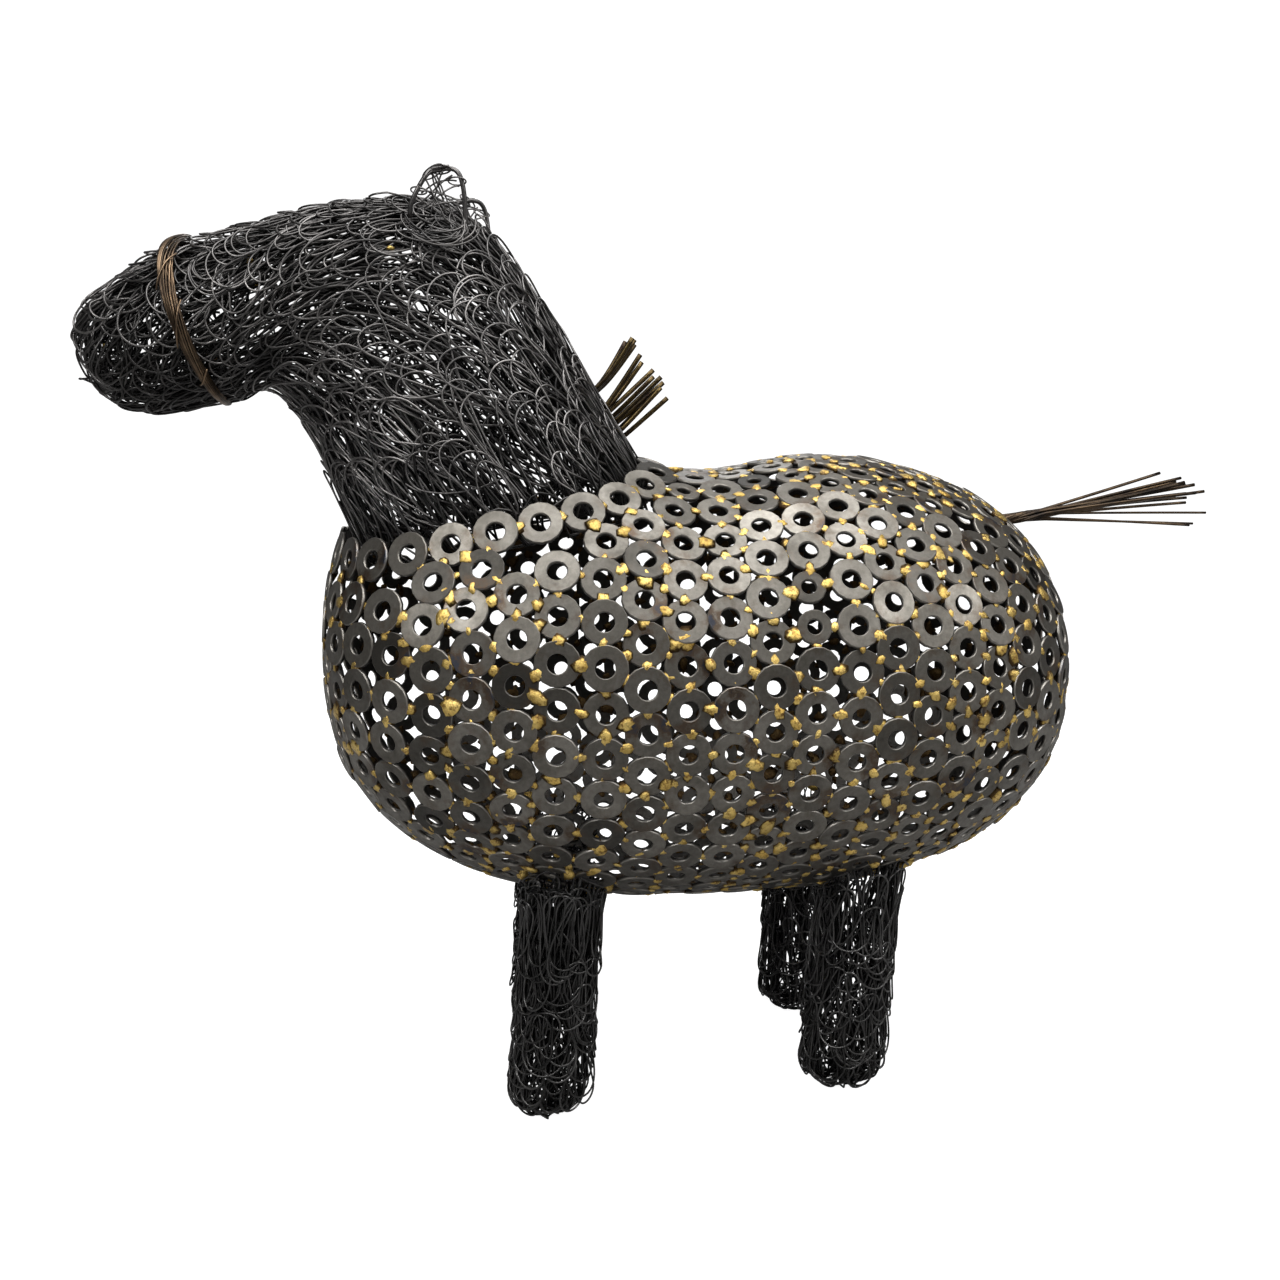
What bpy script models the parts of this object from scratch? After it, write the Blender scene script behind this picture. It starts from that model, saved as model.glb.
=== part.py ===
"""Pony sculpture of brazed steel washers and woven wire, standing on four woven legs.

Metres, Z up, head toward -X, the pony's left side toward -Y. Each object is one solid piece.
"""

import math

import bpy
import numpy as np

# Washer body
BODY_LENGTH = 0.4613
BODY_WIDTH = 0.278
BODY_HEIGHT = 0.2793
BODY_MID_X = -0.0029
BODY_MID_Z = 0.261
CHEST_RISE = 0.0221
CHEST_BLUNTNESS = 2.82
RUMP_BLUNTNESS = 2.81
SADDLE_DEPTH = 0.0142
SADDLE_SPREAD = 0.055
WASHER_THICKNESS = 0.0025
CELLS_LONG = 12
CELLS_WIDE = 6
CELLS_HIGH = 6
OPEN_SHARE = 0.41
RELAX_STEPS = 200
RELAX_PULL = 3.0
RELAX_RATE = 0.2

# Collar where the neck enters the body, seen from above
COLLAR_MID_X = -0.1275
COLLAR_LENGTH = 0.189
COLLAR_WIDTH = 0.180
COLLAR_CELLS_LONG = 4
COLLAR_CELLS_DOWN = 1
COLLAR_CELLS_WIDE = 4

# Neck and head: throat point x, z, crest point x, z and half width of each section
SECTIONS = (
    (-0.2150, 0.3400, -0.0375, 0.3740, 0.0845),
    (-0.2155, 0.3530, -0.0380, 0.3880, 0.0855),
    (-0.2300, 0.3860, -0.0640, 0.4310, 0.0770),
    (-0.2440, 0.4180, -0.0930, 0.4810, 0.0660),
    (-0.2580, 0.4340, -0.1240, 0.5240, 0.0590),
    (-0.2660, 0.4350, -0.1600, 0.5460, 0.0560),
    (-0.2720, 0.4320, -0.2120, 0.5450, 0.0530),
    (-0.2770, 0.4300, -0.2650, 0.5320, 0.0490),
    (-0.2860, 0.4285, -0.3100, 0.5220, 0.0455),
    (-0.3040, 0.4245, -0.3350, 0.5100, 0.0435),
    (-0.3260, 0.4230, -0.3520, 0.4970, 0.0390),
    (-0.3460, 0.4275, -0.3630, 0.4860, 0.0310),
    (-0.3600, 0.4390, -0.3685, 0.4730, 0.0190),
)
HEAD_SIDES = 16
WEAVE_DEPTH = 0.006

# Noseband of bronze wire round the muzzle
NOSEBAND_STATION = 8.0
NOSEBAND_WIDTH = 0.0085
NOSEBAND_THICKNESS = 0.0042
NOSEBAND_SWELL = 0.35
GAP = 0.0004

# Ears of framed wire mesh
EAR_HEIGHT = 0.031
EAR_WIDTH = 0.031
EAR_TOP_SHARE = 0.60
EAR_LEAN = 0.005
EAR_CUP = 0.006
EAR_WIRE = 0.0036
EAR_MESH = 0.0016
EAR_OPEN_SHARE = 0.36
EAR_SPREAD = 0.042
EAR_BASE_X = -0.1600
EAR_BASE_Z = 0.5265
EAR_BASE_SLOPE = 0.38
EAR_STAGGER = 0.016
EAR_CELLS = 3

# Mane tuft of bronze rods, laid along the crest between two stations
ROD_WIDTH = 0.0032
MANE_ROWS = 5
MANE_COLUMNS = 2
MANE_TOP_STATION = 2.2
MANE_LOW_STATION = 1.45
MANE_WIDTH = 0.011
MANE_PLATE = 0.0022
MANE_KNEE = 0.007
MANE_ROD_LENGTH = 0.028
MANE_TOP_ANGLE = 58.0
MANE_LOW_ANGLE = 38.0
MANE_SPLAY = 0.22

# Tail of thin bronze rods, its height given as a share of half the body's height
TAIL_RISE_SHARE = 0.67
TAIL_ROOT_LENGTH = 0.018
TAIL_ROOT_WIDTH = 0.0080
TAIL_WAIST_SHARE = 0.72
TAIL_TWIST = 100.0
TAIL_ROD_WIDTH = 0.0016
TAIL_ROD_LENGTH = 0.116
TAIL_FAN = 9.0
TAIL_SIDE_FAN = 8.0
TAIL_LIFT = 6.0
TAIL_CELLS = 4

# Woven legs: each one's foot x, foot y, and how far its top leans along x and y
LEG_SIDES = 12
FRONT_LEG_WIDTH = 0.053
REAR_LEG_WIDTH = 0.0575
LEGS = {
    "front_left_leg": (-0.105, -0.060, 0.010, 0.0),
    "front_right_leg": (-0.097, 0.060, 0.008, 0.0),
    "rear_left_leg": (0.0845, -0.050, 0.008, -0.008),
    "rear_right_leg": (0.0834, 0.060, 0.0, 0.0),
}
GROUND_Z = 0.003
LEG_WAIST = 0.05
FOOT_FLAT = 0.028
FOOT_ROUND = 0.015
LEG_WALL = 0.006


def clear_scene():
    """Takes away whatever the scene holds at the start."""
    for obj in list(bpy.data.objects):
        bpy.data.objects.remove(obj, do_unlink=True)


def body_value(points):
    """Below 1 inside the body, 1 on its outer face: a blunt egg with a dip at the saddle."""
    x, y, z = points[:, 0], points[:, 1], points[:, 2]
    along = (x - BODY_MID_X) / (BODY_LENGTH / 2)
    centre = BODY_MID_Z + CHEST_RISE * np.clip(-along, 0, None) ** 2
    dip = SADDLE_DEPTH * np.exp(-(((x - BODY_MID_X) / SADDLE_SPREAD) ** 2))
    half = BODY_HEIGHT / 2 - np.where(z > centre, dip, 0)
    across = np.hypot(y / (BODY_WIDTH / 2), (z - centre) / half)
    blunt = np.where(along < 0, CHEST_BLUNTNESS, RUMP_BLUNTNESS)
    return (np.abs(along) ** blunt + across**blunt) ** (1 / blunt)


def on_body(points):
    """Each point moved along the line from the middle of the body until it lies on its outer face."""
    middle = np.array([BODY_MID_X, 0, BODY_MID_Z])
    rays = points - middle
    rays = rays / np.linalg.norm(rays, axis=1)[:, None]
    near, far = np.zeros(len(points)), np.full(len(points), BODY_LENGTH)
    for _ in range(40):
        reach = (near + far) / 2
        inside = body_value(middle + rays * reach[:, None]) < 1
        near, far = np.where(inside, reach, near), np.where(inside, far, reach)
    return middle + rays * near[:, None]


def body_normals(points):
    """The outward direction at each point, from the slope of body_value."""
    step = 1e-5
    slope = np.stack(
        [body_value(points + step * axis) - body_value(points - step * axis) for axis in np.eye(3)],
        axis=1,
    )
    return slope / np.linalg.norm(slope, axis=1)[:, None]


def body_height(x, y, up):
    """The height of the body's outer face above or below a point on the ground."""
    side = 1 if up else -1
    near, far = 0.0, BODY_HEIGHT
    for _ in range(40):
        reach = (near + far) / 2
        if body_value(np.array([[x, y, BODY_MID_Z + side * reach]]))[0] < 1:
            near = reach
        else:
            far = reach
    return BODY_MID_Z + side * near


def body_rear(y, z):
    """How far back the body's outer face reaches, at a height and a distance from the middle plane."""
    near, far = 0.0, BODY_LENGTH
    for _ in range(40):
        reach = (near + far) / 2
        if body_value(np.array([[BODY_MID_X + reach, y, z]]))[0] < 1:
            near = reach
        else:
            far = reach
    return BODY_MID_X + near


def box_grid(counts):
    """Corners and outward faces of the squares on a box that is divided into counts cells."""
    corners, faces = {}, []

    def corner(key):
        return corners.setdefault(key, len(corners))

    for axis in range(3):
        u, v = (axis + 1) % 3, (axis + 2) % 3
        for level in (0, counts[axis]):
            for i in range(counts[u]):
                for j in range(counts[v]):
                    square = []
                    for a, b in ((0, 0), (1, 0), (1, 1), (0, 1)):
                        key = [0, 0, 0]
                        key[axis], key[u], key[v] = level, i + a, j + b
                        square.append(corner(tuple(key)))
                    faces.append(square if level else square[::-1])
    return list(corners), faces


def in_collar(keys, counts):
    """Whether a square of the box grid belongs to the block that the neck opening takes out."""
    across = [key[1] for key in keys]
    margin = (counts[1] - COLLAR_CELLS_WIDE) / 2
    if min(across) < margin or max(across) > counts[1] - margin:
        return False
    on_top = all(key[2] == counts[2] for key in keys)
    on_front = all(key[0] == 0 for key in keys)
    top_block = on_top and max(key[0] for key in keys) <= COLLAR_CELLS_LONG
    front_block = on_front and min(key[2] for key in keys) >= counts[2] - COLLAR_CELLS_DOWN
    return top_block or front_block


def boundary_loop(faces):
    """The corners along the one open edge of a set of faces, in order."""
    sides = {(a, b) for face in faces for a, b in zip(face, face[1:] + face[:1])}
    after = {a: b for a, b in sides if (b, a) not in sides}
    loop = [min(after)]
    while after[loop[-1]] != loop[0]:
        loop.append(after[loop[-1]])
    return loop


def body_grid():
    """The body's squares: a box grid drawn onto the body, opened at the collar and evened out."""
    counts = (CELLS_LONG, CELLS_WIDE, CELLS_HIGH)
    keys, faces = box_grid(counts)
    faces = [face for face in faces if not in_collar([keys[i] for i in face], counts)]
    used = sorted({i for face in faces for i in face})
    place = {old: new for new, old in enumerate(used)}
    faces = [[place[i] for i in face] for face in faces]
    box = np.array([keys[i] for i in used], float) / counts - 0.5
    points = on_body(box * [BODY_LENGTH, BODY_WIDTH, BODY_HEIGHT] + [BODY_MID_X, 0, BODY_MID_Z])

    rim = boundary_loop(faces)
    foremost = max(range(len(rim)), key=lambda i: -points[rim[i], 0] - abs(points[rim[i], 1]) * 9)
    rim = rim[foremost:] + rim[:foremost]
    turn = 1 if points[rim[1], 1] > 0 else -1
    for i, corner in enumerate(rim):
        angle = 2 * math.pi * i / len(rim)
        x = COLLAR_MID_X - COLLAR_LENGTH / 2 * math.cos(angle)
        y = turn * COLLAR_WIDTH / 2 * math.sin(angle)
        points[corner] = (x, y, body_height(x, y, True))

    near = [set() for _ in used]
    for face in faces:
        for a, b in zip(face, face[1:] + face[:1]):
            near[a].add(b)
            near[b].add(a)
    most = max(len(some) for some in near)
    table = np.array([sorted(some) + [-1] * (most - len(some)) for some in near])
    known = table >= 0
    free = np.setdiff1d(np.arange(len(used)), rim)
    for _ in range(RELAX_STEPS):
        pull = np.linalg.norm(points[table] - points[:, None], axis=2) ** RELAX_PULL * known
        mean = (points[table] * pull[..., None]).sum(1) / pull.sum(1)[:, None]
        points[free] = on_body(points[free] + (mean - points)[free] * RELAX_RATE)
    return points, faces


def ring_faces(faces, corner_of):
    """Faces of the bars between inset squares, with corner_of(face, corner) naming an inset corner.

    It gives the bars, the joints where bars meet, and the open rim as (from, to) pairs.
    """
    owner = {}
    for index, face in enumerate(faces):
        for a, b in zip(face, face[1:] + face[:1]):
            owner[a, b] = index
    made, rim = [], []
    for (a, b), f in owner.items():
        g = owner.get((b, a))
        if g is None:
            made.append([corner_of(f, a), a, b, corner_of(f, b)])
            rim.append((a, b))
        elif f < g:
            made.append([corner_of(f, a), corner_of(g, a), corner_of(g, b), corner_of(f, b)])
    before = {(index, b): a for (a, b), index in owner.items()}
    starts = {}
    for (a, b), f in owner.items():
        if a not in starts or (b, a) not in owner:
            starts[a] = f
    for corner, first in starts.items():
        around, face = [], first
        while face is not None and (not around or face != first):
            around.append(corner_of(face, corner))
            face = owner.get((corner, before[face, corner]))
        if face is None:
            around = [corner] + around
        if len(around) > 2:
            made.append(around)
    return made, rim


def open_shell(points, faces, normals_of, share, wall, rim_wall, settle):
    """A shell of bars round one opening for each square: outer and inner face, joined in the openings."""
    reach = math.sqrt(share)
    inset, index = [], {}
    for f, face in enumerate(faces):
        middle = points[face].mean(axis=0)
        for corner in face:
            index[f, corner] = len(points) + len(inset)
            inset.append(middle + (points[corner] - middle) * reach)
    inset = settle(np.array(inset))
    outer = np.concatenate([points, inset])
    normals = normals_of(outer)
    rim_half = np.array([rim_wall] * len(points) + [wall] * len(inset))[:, None]
    top = outer + normals * (rim_half - wall) / 2
    low = outer - normals * (rim_half + wall) / 2
    shape, rim = ring_faces(faces, lambda f, corner: index[f, corner])
    count = len(outer)
    solid = list(shape) + [[i + count for i in face[::-1]] for face in shape]
    for f, face in enumerate(faces):
        for a, b in zip(face, face[1:] + face[:1]):
            a, b = index[f, a], index[f, b]
            solid.append([a, b, b + count, a + count])
    solid += [[b, a, a + count, b + count] for a, b in rim]
    return np.concatenate([top, low]), solid


def section_ring(section, inset=0.0, sides=HEAD_SIDES):
    """One oval of the neck or head, spanned by its throat point, crest point and half width."""
    low = np.array([section[0], 0, section[1]])
    high = np.array([section[2], 0, section[3]])
    arm = (high - low) / 2
    long = np.linalg.norm(arm)
    arm = arm * (long - inset) / long
    turn = 2 * np.pi * np.arange(sides) / sides
    ring = (low + high) / 2 + np.cos(turn)[:, None] * arm
    ring[:, 1] = (section[4] - inset) * np.sin(turn)
    return ring


def section_at(station):
    """The neck or head section at a station between two listed ones, along a smooth curve."""
    table = np.array(SECTIONS)
    i = int(min(max(math.floor(station), 0), len(table) - 2))
    t = station - i
    p1, p2 = table[i], table[i + 1]
    p0 = table[i - 1] if i > 0 else 2 * p1 - p2
    p3 = table[i + 2] if i + 2 < len(table) else 2 * p2 - p1
    bend = (2 * p0 - 5 * p1 + 4 * p2 - p3) * t**2 + (3 * p1 - p0 - 3 * p2 + p3) * t**3
    return p1 + ((p2 - p0) * t + bend) / 2


def skin(rings, closed_start=True, closed_end=True):
    """Points and faces of a surface through rings of equal count, with flat ends where asked."""
    sides = len(rings[0])
    faces = []
    for r in range(len(rings) - 1):
        for s in range(sides):
            a, b = r * sides + s, r * sides + (s + 1) % sides
            faces.append([a, b, b + sides, a + sides])
    if closed_start:
        faces.append(list(range(sides))[::-1])
    if closed_end:
        faces.append([(len(rings) - 1) * sides + s for s in range(sides)])
    return np.concatenate(rings), faces


def neck_and_head():
    """The woven neck and head: a hollow form, open where it stands in the collar."""
    half_band = noseband_half_station()
    last = len(SECTIONS) - 1
    outer = [0.0, 1.0, 2.0, 3.0, 4.0, 5.0, 6.0, 7.0, NOSEBAND_STATION - half_band,
             NOSEBAND_STATION + half_band, 9.0, 10.0, 11.0, float(last)]
    inner = [0.0, 2.0, 4.0, 5.5, 7.0, 9.0, 10.4]
    rings = [section_ring(section_at(s), WEAVE_DEPTH) for s in reversed(inner)]
    rings += [section_ring(section_at(s)) for s in outer]
    return skin(rings)


def noseband_half_station():
    """Half the noseband's width, counted in stations along the muzzle."""
    here, there = section_at(NOSEBAND_STATION - 0.5), section_at(NOSEBAND_STATION + 0.5)
    step = np.hypot(*((there - here)[[0, 1]] + (there - here)[[2, 3]]) / 2)
    return NOSEBAND_WIDTH / 2 / step


def noseband():
    """The bronze noseband: a five-sided bead laid round the muzzle on its slanting line."""
    half = noseband_half_station()
    outline = ((-1.0, 0.0), (-0.85, 0.62), (0.0, 1.0), (0.85, 0.62), (1.0, 0.0))
    turn = 2 * np.pi * np.arange(HEAD_SIDES) / HEAD_SIDES
    swell = 1 + NOSEBAND_SWELL * np.cos(turn) ** 2
    loops = []
    for side, rise in outline:
        section = section_at(NOSEBAND_STATION + half * side)
        base = section_ring(section, -GAP)
        middle = base.mean(axis=0)
        out = (base - middle) / np.linalg.norm(base - middle, axis=1)[:, None]
        loops.append(base + out * (GAP + NOSEBAND_THICKNESS * rise * swell)[:, None])
    count = len(loops)
    points = np.concatenate(loops)
    faces = []
    for k in range(count):
        here, there = k * HEAD_SIDES, (k + 1) % count * HEAD_SIDES
        for s in range(HEAD_SIDES):
            after = (s + 1) % HEAD_SIDES
            faces.append([here + s, here + after, there + after, there + s])
    return points, faces


def flat_grid(columns, rows):
    """Corners as (column, row) and faces of a flat grid."""
    keys = [(c, r) for r in range(rows + 1) for c in range(columns + 1)]
    wide = columns + 1
    faces = []
    for r in range(rows):
        for c in range(columns):
            a = r * wide + c
            faces.append([a, a + 1, a + 1 + wide, a + wide])
    return keys, faces


def ear(side, stagger):
    """A cupped ear of wire mesh in a thick wire frame; side is -1 for the pony's left."""
    keys, faces = flat_grid(EAR_CELLS, EAR_CELLS)
    points = []
    for c, r in keys:
        across, up = 2 * c / EAR_CELLS - 1, r / EAR_CELLS
        half = EAR_WIDTH / 2 * (1 - (1 - EAR_TOP_SHARE) * up**2.2)
        shoulder = EAR_HEIGHT * 0.16 * up * across**2
        x = EAR_BASE_X + stagger + across * half + EAR_LEAN * up
        z = EAR_BASE_Z - EAR_BASE_SLOPE * across * half * (1 - up) + EAR_HEIGHT * up - shoulder
        y = EAR_SPREAD + 0.10 * EAR_HEIGHT * up + EAR_CUP * (across**2 - 1) * (0.35 + 0.65 * up)
        points.append((x, side * y, z))
    points = np.array(points)
    if side > 0:
        faces = [face[::-1] for face in faces]

    def normals_of(found):
        mid = points.mean(axis=0)
        away = np.zeros_like(found)
        away[:, 1] = side
        away[:, 0] = (found[:, 0] - mid[0]) * -8
        return away / np.linalg.norm(away, axis=1)[:, None]

    return open_shell(points, faces, normals_of, EAR_OPEN_SHARE, EAR_MESH, EAR_WIRE, lambda p: p)


def rod_cluster(grid, faces, thickness, normals, paths, share):
    """A base plate with one square rod growing from each listed square of its grid."""
    reach = math.sqrt(share)
    inset, index = [], {}
    for f, face in enumerate(faces):
        middle = grid[face].mean(axis=0)
        for corner in face:
            index[f, corner] = len(grid) + len(inset)
            inset.append(middle + (grid[corner] - middle) * reach)
    points = [np.concatenate([grid, np.array(inset)])]
    shape, rim = ring_faces(faces, lambda f, corner: index[f, corner])
    solid = list(shape)
    count = len(points[0])
    for f, face in enumerate(faces):
        base = [index[f, corner] for corner in face]
        frame = points[0][base] - points[0][base].mean(axis=0)
        for middle in paths.get(f, ()):
            points.append(middle + frame)
            ring = list(range(count, count + 4))
            count += 4
            solid += [[base[k], base[(k + 1) % 4], ring[(k + 1) % 4], ring[k]] for k in range(4)]
            base = ring
        solid.append(base)
    back = count
    points.append(grid - normals * thickness)
    solid += [[i + back for i in face[::-1]] for face in faces]
    solid += [[b, a, a + back, b + back] for a, b in rim]
    return np.concatenate(points), solid


def mane_tuft():
    """Short bronze rods fanned from a brazed base along the lower crest."""
    _, _, top_x, top_z, _ = section_at(MANE_TOP_STATION)
    _, _, low_x, low_z, _ = section_at(MANE_LOW_STATION)
    top = np.array([top_x, 0, top_z])
    along = np.array([low_x, 0, low_z]) - top
    out = np.array([-along[2], 0, along[0]]) / np.linalg.norm(along)
    keys, faces = flat_grid(MANE_COLUMNS, MANE_ROWS)
    grid = np.array(
        [top + along * r / MANE_ROWS + [0, MANE_WIDTH * (c / MANE_COLUMNS - 0.5), 0] for c, r in keys]
    )
    grid = grid + out * (MANE_PLATE + GAP)
    first = grid[faces[0]]
    if np.cross(first[1] - first[0], first[2] - first[0]) @ out < 0:
        faces = [face[::-1] for face in faces]
    paths = {}
    for f, face in enumerate(faces):
        row, column = divmod(f, MANE_COLUMNS)
        share = (row + 0.5) / MANE_ROWS
        angle = math.radians(MANE_TOP_ANGLE + (MANE_LOW_ANGLE - MANE_TOP_ANGLE) * share)
        lean = (column + 0.5) / MANE_COLUMNS - 0.5
        aim = np.array([math.cos(angle), MANE_SPLAY * 2 * lean, math.sin(angle)])
        middle = grid[face].mean(axis=0)
        knee = middle + out * MANE_KNEE
        length = MANE_ROD_LENGTH * (0.92 + 0.16 * ((f * 7) % 5) / 4)
        paths[f] = (knee, knee + aim * length)
    step = np.linalg.norm(along) / MANE_ROWS
    share = ROD_WIDTH**2 / (step * MANE_WIDTH / MANE_COLUMNS)
    return rod_cluster(grid, faces, MANE_PLATE, np.tile(out, (len(grid), 1)), paths, share)


def tail():
    """Thin bronze rods, twisted together at the rump and fanned out behind."""
    lift = math.radians(TAIL_LIFT)
    ahead = np.array([math.cos(lift), 0, math.sin(lift)])
    upward = np.array([-math.sin(lift), 0, math.cos(lift)])
    sideways = np.array([0.0, 1.0, 0.0])
    root_z = BODY_MID_Z + TAIL_RISE_SHARE * BODY_HEIGHT / 2
    start = np.array([body_rear(0, root_z), 0, root_z])
    end = start + ahead * TAIL_ROOT_LENGTH
    keys, faces = flat_grid(TAIL_CELLS, TAIL_CELLS)
    spots = (np.array(keys, float) / TAIL_CELLS - 0.5) * TAIL_ROOT_WIDTH
    grid = end + spots[:, :1] * sideways + spots[:, 1:] * upward
    paths = {}
    for f, face in enumerate(faces):
        row, column = divmod(f, TAIL_CELLS)
        if row in (0, TAIL_CELLS - 1) and column in (0, TAIL_CELLS - 1):
            continue
        spot = np.array([column + 0.5, row + 0.5]) / TAIL_CELLS * 2 - 1
        rise = math.radians(TAIL_FAN * spot[1] + 2.2 * math.sin(2.3 * f))
        yaw = math.radians(TAIL_SIDE_FAN * spot[0] + 2.0 * math.cos(1.7 * f))
        aim = ahead * math.cos(rise) + upward * math.sin(rise) + sideways * math.sin(yaw)
        middle = grid[face].mean(axis=0)
        length = TAIL_ROD_LENGTH * (1 + 0.06 * math.sin(5.1 * f))
        knee = middle + (ahead * 0.65 + aim * 0.35) * length * 0.25
        paths[f] = (knee, knee + aim * length * 0.75)
    share = (TAIL_ROD_WIDTH / (TAIL_ROOT_WIDTH / TAIL_CELLS)) ** 2
    points, solid = rod_cluster(grid, faces, 0.0, np.zeros_like(grid), paths, share)
    back = len(points) - len(grid)
    solid = [face for face in solid if max(face) < back]
    loop = boundary_loop(faces)
    rings = [loop]
    points = [points[:back]]
    for share, size in ((0.5, TAIL_WAIST_SHARE), (1.0, 1.0)):
        turn = math.radians(TAIL_TWIST * share)
        flat = spots[loop] * size @ [[math.cos(turn), math.sin(turn)], [-math.sin(turn), math.cos(turn)]]
        centre = end - ahead * TAIL_ROOT_LENGTH * share
        rings.append([back + len(loop) * (len(rings) - 1) + i for i in range(len(loop))])
        points.append(centre + flat[:, :1] * sideways + flat[:, 1:] * upward)
    points[-1][:, 0] = [body_rear(y, z) + GAP for _, y, z in points[-1]]
    for first, second in zip(rings, rings[1:]):
        for i in range(len(loop)):
            j = (i + 1) % len(loop)
            solid.append([first[j], first[i], second[i], second[j]])
    solid.append(rings[-1][::-1])
    return np.concatenate(points), solid


def leg(foot_x, foot_y, lean_x, lean_y, width):
    """A woven leg: a hollow tube with a rounded foot, its top following the belly above it."""
    radius = width / 2
    turn = 2 * np.pi * np.arange(LEG_SIDES) / LEG_SIDES
    top = body_height(foot_x + lean_x, foot_y + lean_y, False)

    def ring(height, reach):
        share = (height - GROUND_Z) / (top - GROUND_Z)
        middle = np.array([foot_x + lean_x * share, foot_y + lean_y * share, height])
        return middle + reach * np.stack([np.cos(turn), np.sin(turn), np.zeros(LEG_SIDES)], 1)

    def crown(reach):
        found = ring(top, reach)
        found[:, 2] = [body_height(x, y, False) - GAP for x, y, _ in found]
        return found

    inner = radius - LEG_WALL
    floor = GROUND_Z + LEG_WALL
    bow = radius - FOOT_FLAT / 2
    outer_rings = [
        ring(GROUND_Z, FOOT_FLAT / 2),
        ring(GROUND_Z + FOOT_ROUND * 0.32, FOOT_FLAT / 2 + bow * 0.72),
        ring(GROUND_Z + FOOT_ROUND * 1.1, radius),
        ring((top + GROUND_Z) / 2, radius * (1 - LEG_WAIST)),
        crown(radius),
    ]
    inner_rings = [crown(inner), ring(floor + FOOT_ROUND, inner), ring(floor, FOOT_FLAT / 2)]
    return skin(outer_rings + inner_rings)


def finish(name, red, green, blue, metallic, roughness):
    """A plain surface finish, one for each piece."""
    made = bpy.data.materials.new(name)
    made.use_nodes = True
    shader = made.node_tree.nodes["Principled BSDF"]
    shader.inputs["Base Color"].default_value = (red, green, blue, 1)
    shader.inputs["Metallic"].default_value = metallic
    shader.inputs["Roughness"].default_value = roughness
    made.diffuse_color = (red, green, blue, 1)
    return made


def add_piece(name, shape, material, smooth=False):
    """One solid piece as an object of its own."""
    points, faces = shape
    mesh = bpy.data.meshes.new(name)
    mesh.from_pydata([tuple(map(float, p)) for p in points], [], [list(map(int, f)) for f in faces])
    mesh.update()
    if smooth:
        mesh.polygons.foreach_set("use_smooth", [True] * len(mesh.polygons))
    mesh.materials.append(material)
    made = bpy.data.objects.new(name, mesh)
    bpy.context.scene.collection.objects.link(made)
    return made


def centre_on_ground(pieces):
    """Moves every piece alike, so that the ground point under the middle of the whole is the origin."""
    corners = np.array([v.co[:] for piece in pieces for v in piece.data.vertices])
    low, high = corners.min(axis=0), corners.max(axis=0)
    shift = np.array([(low[0] + high[0]) / 2, (low[1] + high[1]) / 2, low[2]])
    for piece in pieces:
        for v in piece.data.vertices:
            v.co = [float(c - s) for c, s in zip(v.co, shift)]


clear_scene()
grid_points, grid_faces = body_grid()
pieces = [
    add_piece(
        "washer_body",
        open_shell(
            grid_points, grid_faces, body_normals, OPEN_SHARE, WASHER_THICKNESS, WASHER_THICKNESS, on_body
        ),
        finish("washer_steel", 0.16, 0.155, 0.145, 0.9, 0.4),
    ),
    add_piece("neck_and_head", neck_and_head(), finish("neck_wire", 0.03, 0.03, 0.032, 0.8, 0.42), True),
    add_piece("noseband", noseband(), finish("noseband_bronze", 0.17, 0.11, 0.06, 0.9, 0.4), True),
    add_piece("left_ear", ear(-1, 0.0), finish("left_ear_wire", 0.04, 0.04, 0.042, 0.8, 0.42)),
    add_piece("right_ear", ear(1, EAR_STAGGER), finish("right_ear_wire", 0.04, 0.04, 0.042, 0.8, 0.42)),
    add_piece("mane_tuft", mane_tuft(), finish("mane_bronze", 0.20, 0.13, 0.06, 0.9, 0.4)),
    add_piece("tail", tail(), finish("tail_bronze", 0.14, 0.095, 0.055, 0.9, 0.42)),
]
for name, stand in LEGS.items():
    width = FRONT_LEG_WIDTH if name.startswith("front") else REAR_LEG_WIDTH
    wire = finish(name + "_wire", 0.03, 0.03, 0.032, 0.8, 0.42)
    pieces.append(add_piece(name, leg(*stand, width), wire, True))
centre_on_ground(pieces)
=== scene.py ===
"""The looks of the pony: real washers with their brazing, and the woven wire of neck, head and legs.

Metres, Z up, head toward -X. Shapes are worked out in the part's own layout, and add_piece moves
them by SHIFT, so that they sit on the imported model. Nothing random is left unseeded.
"""

import bpy
import numpy as np
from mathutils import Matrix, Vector


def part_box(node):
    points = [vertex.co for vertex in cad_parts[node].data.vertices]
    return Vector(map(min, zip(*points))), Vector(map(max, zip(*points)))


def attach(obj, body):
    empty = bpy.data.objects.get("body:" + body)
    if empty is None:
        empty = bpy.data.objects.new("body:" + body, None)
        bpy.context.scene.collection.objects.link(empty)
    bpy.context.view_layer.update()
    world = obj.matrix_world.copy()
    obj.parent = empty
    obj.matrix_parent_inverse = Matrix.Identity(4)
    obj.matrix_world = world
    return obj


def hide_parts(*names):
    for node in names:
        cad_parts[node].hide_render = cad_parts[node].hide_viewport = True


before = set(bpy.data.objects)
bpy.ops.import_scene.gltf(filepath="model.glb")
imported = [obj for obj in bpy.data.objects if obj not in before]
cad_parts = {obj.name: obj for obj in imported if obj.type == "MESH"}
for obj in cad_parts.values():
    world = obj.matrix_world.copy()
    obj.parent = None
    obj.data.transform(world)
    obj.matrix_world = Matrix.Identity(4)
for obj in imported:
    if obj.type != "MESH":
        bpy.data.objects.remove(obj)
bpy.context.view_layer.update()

# Washer body, as in the solids
BODY_LENGTH, BODY_WIDTH, BODY_HEIGHT = 0.4613, 0.278, 0.2793
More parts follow.
